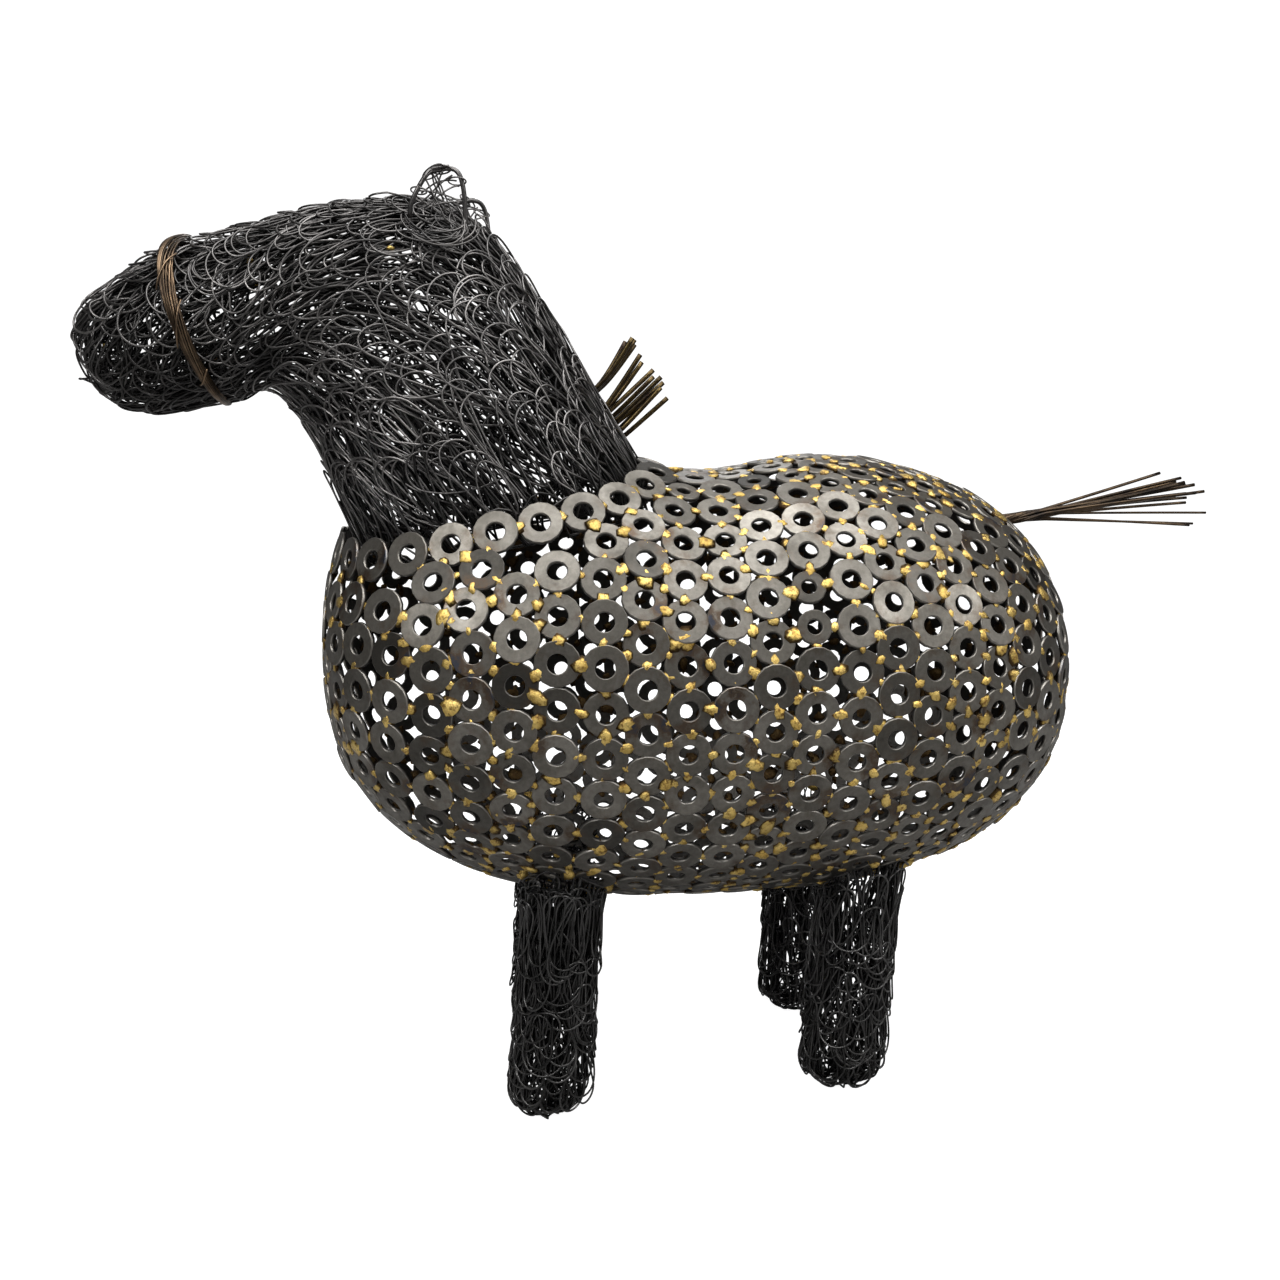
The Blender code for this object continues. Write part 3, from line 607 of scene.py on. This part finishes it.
def washers(centres, radius, collar_count, brazed):
    """Flat rings with bevelled upper edges. The outline of a ring's section has six points, and it is
    turned about the washer's middle in 16 steps. Warmth falls from each brazing to nothing 11.5 mm away,
    and about one brazing in twelve was hot. One washer in ten is burnt darker. The first washers are the
    collar's, which stand more upright than the body under them."""
    rng = np.random.default_rng(7)
    count, steps = len(centres), 16
    normal = body_normals(centres)
    normal[:collar_count, 2] *= COLLAR_LEAN
    tilt = rng.normal(0, 0.036, centres.shape)
    normal = unit(normal + tilt)
    side = unit(np.cross(normal, rng.normal(0, 1, centres.shape)))
    other = np.cross(normal, side)
    deep, rim = WASHER_THICKNESS, WASHER_EDGE
    hole = radius * HOLE_SHARE
    low, high, top = np.full(count, -deep), np.full(count, -rim), np.zeros(count)
    outline = [(hole, low), (hole, high), (hole + rim, top),
               (radius - rim, top), (radius, high), (radius, low)]
    reach = np.stack([r for r, _ in outline], 1)[:, None, :, None]
    height = np.stack([h for _, h in outline], 1)[:, None, :, None]
    turn = 2 * np.pi * np.arange(steps) / steps
    spoke = np.cos(turn)[:, None] * side[:, None] + np.sin(turn)[:, None] * other[:, None]
    middle = centres + normal * rng.normal(0.0004, 0.0004, count)[:, None]
    points = middle[:, None, None] + reach * spoke[:, :, None] + height * normal[:, None, None]
    far = np.linalg.norm(points[:, :, :, None] - brazed[:, None, None], axis=-1)
    scorched = rng.random((count, 6)) < HOT_SHARE
    hot = np.where(scorched, rng.uniform(0.9, 1.6, (count, 6)), rng.uniform(0.15, 0.5, (count, 6)))
    warmth = (np.clip(1 - far / HEAT_REACH, 0, 1) * hot[:, None, None]).max(-1)
    edge, inner = np.zeros((2,) + points.shape[:3])
    # edge marks the bevel rings, which the material lightens as a painted highlight
    edge[:, :, [1, 4]] = 1.0
    # inner marks the underside rings, which the material darkens as painted shade
    inner[:, :, [0, 5]] = 1.0
    i, j, k = np.meshgrid(np.arange(count), np.arange(steps), np.arange(6), indexing="ij")

    def index(j, k):
        return ((i * steps + j % steps) * 6 + k % 6).reshape(-1)

    faces = np.stack([index(j, k), index(j, k + 1), index(j + 1, k + 1), index(j + 1, k)], 1)
    flat = (k == 2) | (k == 5)
    burnt = rng.random(count) < BURNT_SHARE
    tone = np.repeat(np.where(burnt, rng.uniform(0.2, 0.5, count), rng.uniform(0.55, 1.0, count)), steps * 6)
    add_piece("washers", points.reshape(-1, 3), faces.tolist(), washer_steel, "washer_steel",
              ["washer_body"], flat=flat.reshape(-1), tone=tone, warmth=warmth, edge=edge, inner=inner)


def braze_spots(centres, radius):
    """Where washers are brazed: between each two that touch, at the point that parts their distance
    by their radii. It gives the spots, the direction across the joint and each washer's six nearest."""
    rng = np.random.default_rng(9)
    first, second = np.triu_indices(len(centres), 1)
    gap = centres[second] - centres[first]
    dist = np.linalg.norm(gap, axis=1)
    reach = radius[first] + radius[second]
    touch = (dist < reach * JOINT_REACH) & (rng.random(len(dist)) < JOINT_SHARE)
    first, second, gap, dist, reach = (v[touch] for v in (first, second, gap, dist, reach))
    spots = centres[first] + gap * (radius[first] / reach)[:, None]
    nearest = np.argsort(apart(centres, spots), axis=1)[:, :6]
    return spots, unit(gap), spots[nearest]


def brazing(spots, across):
    """Lumps of brass: balls flattened onto the joint, whose radius swells and shrinks with two sine
    waves in random directions. A few are long smears, and some sit on a washer's face. Their skirts
    are marked, as they are burnt brown."""
    rng = np.random.default_rng(13)
    extra = rng.integers(0, len(spots), EXTRA_LUMPS)
    slide = on_body(spots[extra] + rng.normal(0, 0.005, (EXTRA_LUMPS, 3)))
    ends = np.concatenate([leg_top_spots(), HEAD_SPECKS])
    settled = np.where(in_collar(spots, 0.012)[:, None], spots, on_body(spots))
    spots = np.concatenate([settled, slide, ends])
    normal = body_normals(spots)
    wander = np.concatenate([across, unit(rng.normal(0, 1, (EXTRA_LUMPS + len(ends), 3)))])
    first = unit(wander - (wander * normal).sum(1, keepdims=True) * normal + 1e-6)
    second = np.cross(normal, first)
    count = len(spots)
    size = np.clip(rng.lognormal(0.02, 0.24, (count, 1)), 0.68, 1.55)
    smear = (rng.random((count, 1)) < 0.05) * rng.uniform(0.5, 1.0, (count, 1))
    long = LUMP_LONG * size * (1 + smear * 0.6)
    wide = LUMP_WIDE * size * rng.uniform(0.7, 1.2, (count, 1)) * (1 + smear * 0.3)
    tall = LUMP_TALL * np.sqrt(size) * rng.uniform(0.8, 1.15, (count, 1))
    long[-len(ends):], wide[-len(ends):], tall[-len(ends):] = 0.0052, 0.0040, 0.0036
    long[-len(HEAD_SPECKS):], wide[-len(HEAD_SPECKS):], tall[-len(HEAD_SPECKS):] = 0.0022, 0.0016, 0.0014
    rise = np.pi * np.arange(1, 5) / 5
    turn = 2 * np.pi * np.arange(8) / 8
    ball = np.stack([np.outer(np.sin(rise), np.cos(turn)), np.outer(np.sin(rise), np.sin(turn)),
                     np.outer(np.cos(rise), np.ones(8))], -1).reshape(-1, 3)
    ball = np.concatenate([[[0, 0, 1]], ball, [[0, 0, -1]]])
    swell = 1.0
    for pitch, amount in ((3.0, 0.24), (5.5, 0.17)):
        aim = unit(rng.normal(0, 1, (count, 1, 3)))
        swell = swell + amount * np.sin(pitch * (ball[None] * aim).sum(-1) + rng.uniform(0, 6.28, (count, 1)))
    ball = ball[None] * swell[..., None]
    points = (spots - normal * 0.0008)[:, None] + ball[..., :1] * (first * long)[:, None] \
        + ball[..., 1:2] * (second * wide)[:, None] + ball[..., 2:] * (normal * tall)[:, None]
    ring = np.arange(8)
    faces = [[0, 1 + s, 1 + (s + 1) % 8] for s in ring] + [[33, 25 + (s + 1) % 8, 25 + s] for s in ring]
    faces += [[1 + 8 * r + s, 9 + 8 * r + s, 9 + 8 * r + (s + 1) % 8, 1 + 8 * r + (s + 1) % 8]
              for r in range(3) for s in ring]
    every = [[i + n * 34 for i in face] for n in range(count) for face in faces]
    tone = np.repeat(rng.uniform(0.55, 1.0, count), 34)
    skirt = np.tile(np.repeat([0.0, 0.26, 0.95, 1.0, 1.0, 1.0], [1, 8, 8, 8, 8, 1]), (count, 1))
    skirt[-len(ends):] *= 0.3
    add_piece("brazing", points.reshape(-1, 3), every, brass, "washer_steel", tone=tone, skirt=skirt)


def leg_top_spots():
    """Lumps that hold each leg to the belly, spaced round its top, and one at the tail's root."""
    turn = 2 * np.pi * (np.arange(5) + 0.77) / 5
    found = []
    for foot_x, foot_y, lean_x, lean_y, width in LEGS.values():
        x = foot_x + lean_x + width * 0.5 * np.cos(turn)
        y = foot_y + lean_y + width * 0.5 * np.sin(turn)
        found.append(np.stack([x, y, body_height(x, y, -1)], 1))
    tail = on_body(np.array([[0.23, s * 0.006, 0.362 + s * 0.002] for s in (-1, 0, 1)]))
    return np.concatenate(found + [tail])


centres, radius, collar_count = place_washers()
spots, across, nearest_spots = braze_spots(centres, radius)
washers(centres, radius, collar_count, nearest_spots)
brazing(spots, across)


# Neck and head

def neck_loops(seed, count, low, high, width, tail, points, arc_share, bias, **more):
    """Loops spread over a stretch of neck or head, nearly round at the nose. Noses point toward the
    muzzle, and are turned toward the throat by bias on the sides. Each loop also gets a painted shade,
    which rises up the neck from 0.85 to 1.1. Past HEAD_START it falls from 1 at the crest to 0.4 at
    the throat, with the cosine of its angle."""
    rng = np.random.default_rng(seed)
    station, turn = scatter(neck_surface, rng, count, low, high, 0.01)
    heading = bias * np.sin(turn) + rng.normal(0, 0.36, count)
    width = rng.uniform(*width, count)
    loops = wire_loops(neck_surface, rng, station, turn, heading, width, width * rng.uniform(0.8, 1.1, count),
                       rng.uniform(*tail, count), points, arc_share, limits=(-0.4, 13.9), **more)
    # painted shade: lighter up the neck, and on the head lighter at the crest than at the throat
    low = 0.85 + 0.25 * np.clip((station - 0.5) / 2, 0, 1)
    return *loops, np.where(station < HEAD_START, low, 0.70 + 0.30 * np.cos(turn))


neck_outer = neck_loops(21, 330, 0.3, HEAD_START, (0.009, 0.018), (0.032, 0.066), 30, 0.48, 0.55,
                        flare=(-1.1, 0.8))
neck_inner = neck_loops(22, 200, 0.0, HEAD_START, (0.010, 0.020), (0.040, 0.075), 24, 0.40, 0.3, base=DEEP)
head_outer = neck_loops(23, 400, HEAD_START - 0.3, 13.4, (0.0095, 0.0175), (0.012, 0.034), 28, 0.60, 0.75,
                        flare=(-1.7, 0.9))
neck_foot = neck_loops(26, 70, -0.35, 0.9, (0.010, 0.018), (0.020, 0.045), 20, 0.46, 0.3,
                       base=(-0.007, -0.002))
head_inner = neck_loops(24, 330, HEAD_START - 0.3, 12.8, (0.009, 0.015), (0.018, 0.040), 19, 0.50, 0.4,
                        base=DEEP)
loose = neck_loops(25, 30, HEAD_START, 12.5, (0.005, 0.010), (0.008, 0.015), 19, 0.66, 0.75,
                   base=(-0.0005, 0.0015), lift=0.0010, tuck=0.006, roll=0.0045)
# painted light and shade: light brightens the neck's outer wires more than the head's, and each loop's shade
# scales its tone
for name, outer, inner, light in (("neck_wire", [neck_outer], [neck_inner, neck_foot], 1.14),
                                  ("head_wire", [head_outer, loose], [head_inner], 0.98)):
    face = [(paths, up, WIRE / 2, 0.45 * light * shade, 1.1 * light * shade) for paths, up, shade in outer]
    # painted shade: the deeper layers take tones of 0 to 0.25, and fade darkens every wire's tails
    depth = [(paths, up, DEEP_WIRE / 2, 0.0, 0.25) for paths, up, _ in inner]
    add_wires(name, face + depth, black_wire, "black_wire", ["neck_and_head"], 31, fade=0.5)


# Noseband

def noseband():
    """Bronze strands that turn slowly round one another in a flat bundle, and thin wires that cross it
    on the slant. The bundle's line swings forward of its section on the muzzle's sides, with the
    sine of the angle round the muzzle, and it lies closer to the nose's bridge and to the chin."""
    rng = np.random.default_rng(41)
    count, turn = 17, np.linspace(-np.pi, np.pi, 65)
    own = 2 * np.pi * np.arange(count)[:, None] / count
    twist = own + 0.7 * np.sin(turn) + turn * 1.0 + 0.2 * np.sin(2 * turn + own * 2)

    def on_band(across, around, height):
        """A point across the band from -1 to 1, at an angle, so high above the muzzle."""
        place = NOSEBAND_STATION + 0.21 * np.sin(1.3 * np.abs(around) - 0.45) + 0.145 * across
        first, second = slopes(neck_surface, place, around, 0.01)
        out = unit(np.cross(second, first))
        height = height - 0.0025 * np.clip(np.abs(around) - 1.9, 0, 1)
        height = height - 0.0014 * np.clip(1 - np.abs(around), 0, 1)
        return neck_surface(place, around) + out * height[..., None], out

    strands = on_band(np.cos(twist), np.broadcast_to(turn, twist.shape), 0.0022 + 0.0019 * np.sin(twist))
    k = np.linspace(-1, 1, 26)
    wraps = [on_band(1.6 * k, at - lean * k, 0.0010 + 0.0046 * np.cos(k * 1.4) ** 0.5)
             for at, lean in ((-0.98, 0.20), (-1.62, 0.24), (-2.30, 0.10),
                              (0.7, 0.1), (1.5, 0.15), (2.4, -0.1))]
    groups = [(*strands, 0.00056 * rng.uniform(0.8, 1.1, (count, 1)), 0.0, 1.0),
              (np.array([w for w, _ in wraps]), np.array([n for _, n in wraps]), 0.00055, 0.8, 1.1)]
    add_wires("noseband_strands", groups, band_bronze, "bronze_wire", ["noseband"], 42, sides=6)


noseband()


# Ears

def ear_surface(side, stagger, drop):
    """A cupped leaf: x from its width, z from its height and slanting base, y from its cup.
    Toward the top it narrows by half and sinks a little at the front."""
    def surface(over, up):
        rise = np.clip(up, 0, None)
        half = EAR_WIDTH / 2 * (1 - np.where(over < 0, 0.50 * rise**1.5, 0.02 * rise**3))
        x = EAR_BASE_X + stagger + over * half
        z = EAR_BASE_Z - drop - EAR_BASE_SLOPE * over * half * (1 - up)
        z = z + EAR_HEIGHT * up * (1 - 0.10 * over**2) + 0.20 * over * half * rise
        y = EAR_SPREAD + 0.10 * EAR_HEIGHT * up + EAR_CUP * (over**2 - 1) * (0.35 + 0.65 * up)
        return np.stack([x, side * y, z], -1)

    return surface


def ear(name, side, stagger, drop, seed):
    """A thick frame wire whose outline is a squarish arch, with thin arcs that cross inside it, each
    on a curve with three control points, loops wound over the frame, and a cup of arcs round the
    foot: parts of ellipses laid on the head's side."""
    rng = np.random.default_rng(seed)
    surface = ear_surface(side, stagger, drop)
    q = np.linspace(-0.03, np.pi + 0.03, 44)
    over = -np.sign(np.cos(q)) * np.abs(np.cos(q)) ** 0.34
    up = np.sign(np.sin(q)) * np.abs(np.sin(q)) ** 0.55
    edge = surface(over, up)[None]
    away = np.array([0.0, side, 0.0])
    groups = [(edge, np.broadcast_to(away, edge.shape), EAR_FRAME_WIRE / 2, 0.45, 0.6)]
    twin = surface(over[8:24] * 0.97, up[8:24] + 0.035)[None] + away * 0.0012
    groups.append((twin, np.broadcast_to(away, twin.shape), EAR_MESH_WIRE * 0.8, 0.5, 0.6))
    t = np.linspace(0, 1, 14)[None]
    from_q = np.array([0.30, 0.55, 0.85, 1.15, 1.50, 1.85, 2.20, 2.55, 2.85, 0.45, 2.40, 1.30])[:, None]
    first = np.array([-np.cos(from_q) * 0.97, np.sin(from_q) ** 0.55])
    last = np.array([np.sign(np.cos(from_q)) * rng.uniform(0.1, 0.95, from_q.shape),
                     rng.uniform(-0.05, 0.30, from_q.shape)])
    last[:, 9:] = np.array([-first[0, 9:], rng.uniform(0.45, 0.8, (3, 1))])
    bow = (first + last) / 2 + np.array([rng.uniform(-0.5, 0.5, from_q.shape),
                                         rng.uniform(0.0, 0.35, from_q.shape)])
    over, up = (1 - t) ** 2 * first + 2 * t * (1 - t) * bow + t**2 * last
    mesh = surface(np.clip(over, -0.99, 0.99), up) + away * rng.uniform(-0.0008, 0.0008, (len(from_q), 1, 1))
    groups.append((mesh, np.broadcast_to(away, mesh.shape), EAR_MESH_WIRE / 2, 0.3, 0.9))
    spin = np.linspace(0, 2 * np.pi, 22)
    rings, ring_up = [], []
    for at, size in ((0.42, 0.0042), (1.30, 0.0058), (1.75, 0.0050), (2.45, 0.0046)):
        middle = surface(-np.cos(at) * 0.95, np.sin(at) ** 0.5)
        tilt = rng.uniform(-0.8, 0.8)
        long = unit(np.array([np.cos(tilt), 0.5 * side, np.sin(tilt)]))
        short = unit(np.array([-np.sin(tilt), 0.9 * side, np.cos(tilt)]))
        loop = middle + size * (np.cos(spin)[:, None] * long * 1.2 + np.sin(spin)[:, None] * short * 0.55)
        rings.append(loop)
        ring_up.append(np.broadcast_to(np.cross(long, short), loop.shape))
    groups.append((np.array(rings), np.array(ring_up), EAR_MESH_WIRE / 2, 0.5, 0.9))
    count = 13
    k = rng.uniform(-0.9, 0.8, (count, 1)) + np.linspace(0, 1, 30) * rng.uniform(1.7, 3.4, (count, 1))
    ahead = EAR_BASE_X + stagger - 0.001 + rng.normal(0, 0.0032, (count, 1))
    x = ahead + rng.uniform(0.013, 0.0215, (count, 1)) * np.cos(k)
    z = EAR_BASE_Z - drop + rng.normal(0.001, 0.0028, (count, 1))
    z = z - rng.uniform(0.006, 0.0150, (count, 1)) * np.sin(k)
    z -= rng.uniform(-0.05, 0.35, (count, 1)) * (x - ahead)
    _, throat_z, _, crest_z, half = section_at(np.array(5.2))
    level = (z - (throat_z + crest_z) / 2) / ((crest_z - throat_z) / 2 + 0.004)
    y = half * np.sqrt(np.clip(1 - level**2, 0.30, 1)) + rng.uniform(-0.0015, 0.0012, (count, 1))
    cup = np.stack([x, side * y, z], -1)
    groups.append((cup, np.broadcast_to(away, cup.shape), EAR_MESH_WIRE / 2, 0.1, 0.75))
    add_wires(name + "_wires", groups, black_wire, "ear_wire", [name], seed + 1, sides=6)


ear("left_ear", -1, 0.0, 0.0, 51)
ear("right_ear", 1, EAR_STAGGER, 0.004, 53)


# Mane and tail

def mane():
    """Bronze rods set along the crest: each rises from its base, bends, and runs straight to a flat
    cut end. A rod is (share down the crest, side step, rise angle, length, bend)."""
    rods = np.array([
        (0.00, -0.0045, 59, 0.041, 26), (0.02, -0.0015, 57, 0.042, 26), (0.06, 0.0015, 55, 0.041, 24),
        (0.03, 0.0045, 61, 0.039, 24), (0.40, -0.0035, 57, 0.041, 6), (0.46, 0.0025, 54, 0.040, 8),
        (0.50, -0.0005, 43, 0.041, 2), (0.62, 0.0035, 44, 0.040, 3), (0.68, -0.0035, 44, 0.042, 4),
        (0.73, 0.0000, 41, 0.042, 4), (0.86, 0.0025, 46, 0.038, 3), (0.88, -0.0030, 47, 0.039, 3),
        (1.00, 0.0000, 41, 0.039, 2),
    ])
    share, step, angle, length, bend = rods.T[..., None]
    station = MANE_TOP_STATION + (MANE_LOW_STATION - MANE_TOP_STATION) * share
    base = neck_surface(station[:, 0], np.zeros(len(rods)))[:, None]
    k = np.linspace(0, 1, 9)[None]
    rise = np.radians(angle - bend * np.exp(-k * 4) * 1.5)
    pace = length / 8
    x = np.cumsum(np.cos(rise) * pace, axis=1) - np.cos(rise[:, :1]) * pace
    z = np.cumsum(np.sin(rise) * pace, axis=1) - np.sin(rise[:, :1]) * pace
    paths = base + np.stack([x - 0.003, step * (1 + 0.8 * k) + 0 * x, z - 0.001], -1)
    up = np.broadcast_to([0.0, 1.0, 0.0], paths.shape)
    add_wires("mane_rods", [(paths, up, MANE_ROD / 2, 0.0, 1.1)], mane_bronze, "bronze_rod",
              ["mane_tuft"], 61, sides=8)


def tail():
    """Thin rods that wind round one another for the root's length and then fan out straight, each at
    its own rise and yaw, up to its own length. Every fifth one is thinner and hangs lower."""
    rng = np.random.default_rng(71)
    count = 18
    root_z = BODY_MID_Z + TAIL_RISE_SHARE * BODY_HEIGHT / 2
    line = np.linspace([BODY_MID_X, 0, root_z], [BODY_MID_X + BODY_LENGTH / 2, 0, root_z], 4000)
    start = line[body_value(line) < 1][-1]
    ahead = np.array([np.cos(TAIL_LIFT), 0, np.sin(TAIL_LIFT)])
    over = np.array([-np.sin(TAIL_LIFT), 0, np.cos(TAIL_LIFT)])
    aside = np.array([0.0, 1.0, 0.0])
    own = 2 * np.pi * np.arange(count) * 0.382
    ring = np.sqrt((np.arange(count) + 0.5) / count)
    k = np.linspace(0, 1, 24)[None]
    way = k * (TAIL_ROOT_LENGTH + TAIL_ROD_LENGTH) - 0.004
    wind = own[:, None] + np.clip(1 - way / 0.03, 0, 1) * 2.4
    fan = np.clip(way - 0.012, 0, None)
    reach = 0.0036 * ring[:, None] * (1 - 0.25 * np.exp(-((way - 0.012) / 0.01) ** 2))
    low = np.arange(count) % 5 == 4
    angle = np.where(low, rng.uniform(-7.5, -5.0, count), -1.0 + 8.3 * (np.arange(count) * 0.382 % 1))
    rise = np.tan(np.radians(angle))[:, None]
    thick = TAIL_ROD / 2 * np.where(low, 0.72, rng.uniform(0.85, 1.05, count))[:, None]
    yaw = np.tan(np.radians(8.0) * ring * np.cos(own) + rng.normal(0, 0.02, count))[:, None]
    short = rng.uniform(0.90, 1.0, count)[:, None]
    sag = 0.2 * rng.uniform(-1, 1, (count, 1)) * fan**2
    paths = (start + (way * short)[..., None] * ahead
             + (reach * np.sin(wind) + fan * rise + sag)[..., None] * over
             + (reach * np.cos(wind) + fan * yaw)[..., None] * aside)
    up = np.broadcast_to([0.03, 0.1, 1.0], paths.shape)
    add_wires("tail_rods", [(paths, up, thick, 0.2, 1.1)], tail_bronze, "dark_bronze_rod",
              ["tail"], 72, sides=7)


mane()
tail()


# Legs

def leg(name, stand, seed):
    """Long loops hung in tiers round the leg, their noses down in one row above another, arches with
    noses up, a deeper layer of both, and short loops that close the rounded foot."""
    rng = np.random.default_rng(seed)
    surface = leg_surface(*stand)
    more = {"limits": (0.001, 0.185), "step": 0.0005, "lift": 0.0018, "base": (-0.0028, -0.0006),
            "flare": (-0.9, 0.7)}

    def hang(count, low, high, aim, width, nose, tail, points, share, **other):
        along, turn = scatter(surface, rng, count, low, high, 0.0005)
        sizes = (rng.uniform(*size, count) for size in (width, nose, tail))
        return wire_loops(surface, rng, along, turn, aim + rng.normal(0, 0.22, count), *sizes, points, share,
                          **{**more, **other})

    groups = [hang(25, row - 0.007, row + 0.007, np.pi, (0.007, 0.0155), (0.009, 0.018), (tail, tail * 1.8),
                   26, share)
              for row, tail, share in ((0.138, 0.032, 0.46), (0.115, 0.028, 0.52), (0.092, 0.024, 0.56),
                                       (0.070, 0.022, 0.58), (0.048, 0.020, 0.60))]
    groups += [
        hang(30, 0.125, 0.165, 0.0, (0.006, 0.011), (0.008, 0.013), (0.04, 0.07), 24, 0.45),
        hang(22, 0.055, 0.10, 0.0, (0.006, 0.011), (0.008, 0.013), (0.03, 0.05), 22, 0.45),
        hang(52, 0.003, 0.034, np.pi, (0.006, 0.012), (0.006, 0.012), (0.012, 0.03), 20, 0.50, lift=0.0004),
    ]
    inner = hang(66, 0.02, 0.165, np.pi, (0.008, 0.014), (0.009, 0.014), (0.04, 0.06), 16, 0.40, base=DEEP)
    for paths, _ in groups:
        paths[..., 2] = np.maximum(paths[..., 2], GROUND_Z + WIRE / 2)
    # painted shade: the deeper layer takes tones of 0 to 0.2, and fade darkens every wire's tails
    groups = [(*group, WIRE / 2, 0.30, 1.1) for group in groups] + [(*inner, DEEP_WIRE / 2, 0.0, 0.2)]
    add_wires(name + "_wires", groups, leg_wire, "leg_wire", [name], seed + 1, fade=0.55)


for seed, (name, stand) in enumerate(LEGS.items()):
    leg(name, stand, 81 + 2 * seed)


# Studio

def cove():
    """A pale round floor that curves up into a wall: a profile turned about the middle in 64 steps."""
    bend = np.linspace(0, np.pi / 2, 12)
    out = np.concatenate([[0.0, 1.2], 2.4 + 1.2 * np.sin(bend), [3.6]])
    up = np.concatenate([[0.0, 0.0], 1.2 - 1.2 * np.cos(bend), [3.4]])
    steps, turn = 64, 2 * np.pi * np.arange(64) / 64
    points = np.stack([np.outer(out, np.cos(turn)), np.outer(out, np.sin(turn)),
                       np.outer(up, np.ones(steps))], -1).reshape(-1, 3)
    corners = ((0, 0), (1, 0), (1, 1), (0, 1))
    faces = [[(r + i) * steps + (s + j) % steps for i, j in corners]
             for r in range(len(out) - 1) for s in range(steps)]
    mesh = bpy.data.meshes.new("floor")
    mesh.from_pydata(points.tolist(), [], faces)
    mesh.polygons.foreach_set("use_smooth", [True] * len(faces))
    floor = new_object("floor", mesh)
    paint = bpy.data.materials.new("pale_floor")
    paint.use_nodes = True
    tree = paint.node_tree
    shader = tree.nodes["Principled BSDF"]
    shader.inputs["Base Color"].default_value = (0.30, 0.30, 0.30, 1)
    shader.inputs["Roughness"].default_value = 0.9
    shader.inputs["Emission Color"].default_value = (1, 1, 1, 1)
    seen = put(tree, "LightPath").outputs["Is Camera Ray"]
    tree.links.new(spread(tree, seen, 0, 1, 0.0, 0.97), shader.inputs["Emission Strength"])
    mesh.materials.append(paint)


def softbox(name, place, aim, size, power):
    """A square soft light at a place, pointed at aim."""
    lamp = bpy.data.lights.new(name, "AREA")
    lamp.shape, lamp.size, lamp.energy = "SQUARE", size, power
    made = new_object(name, lamp)
    made.location = place
    made.rotation_mode = "QUATERNION"
    made.rotation_quaternion = (Vector(aim) - Vector(place)).to_track_quat("-Z", "Y")


def studio():
    """Soft light from above and both front sides, a pale surrounding and the photograph's camera."""
    cove()
    softbox("top_light", (0.1, -0.3, 2.2), (0, 0, 0.3), 1.7, 61)
    softbox("left_light", (-1.3, -1.5, 1.7), (-0.05, 0, 0.3), 0.7, 28)
    softbox("right_light", (1.6, -1.2, 1.6), (0, 0, 0.3), 0.9, 29)
    softbox("back_light", (0.0, 1.9, 1.5), (0, 0, 0.3), 1.2, 12)
    world = bpy.data.worlds.new("studio")
    world.use_nodes = True
    world.node_tree.nodes["Background"].inputs["Color"].default_value = (1, 1, 1, 1)
    world.node_tree.nodes["Background"].inputs["Strength"].default_value = 0.06
    bpy.context.scene.world = world
    lens = bpy.data.cameras.new("camera")
    lens.sensor_width = SENSOR
    lens.lens = SENSOR * FOCAL_PIXELS / IMAGE_PIXELS
    lens.clip_start, lens.clip_end = 0.02, 20
    camera = new_object("camera", lens)
    turn, tilt = np.radians(CAMERA_TURN), np.radians(CAMERA_TILT)
    ahead = Vector((-np.sin(turn) * np.cos(tilt), np.cos(turn) * np.cos(tilt), -np.sin(tilt)))
    camera.location = Vector(CAMERA_AT) + SHIFT
    camera.rotation_mode = "QUATERNION"
    camera.rotation_quaternion = ahead.to_track_quat("-Z", "Y")
    bpy.context.scene.camera = camera
    bpy.context.scene.view_settings.view_transform = "Standard"


studio()
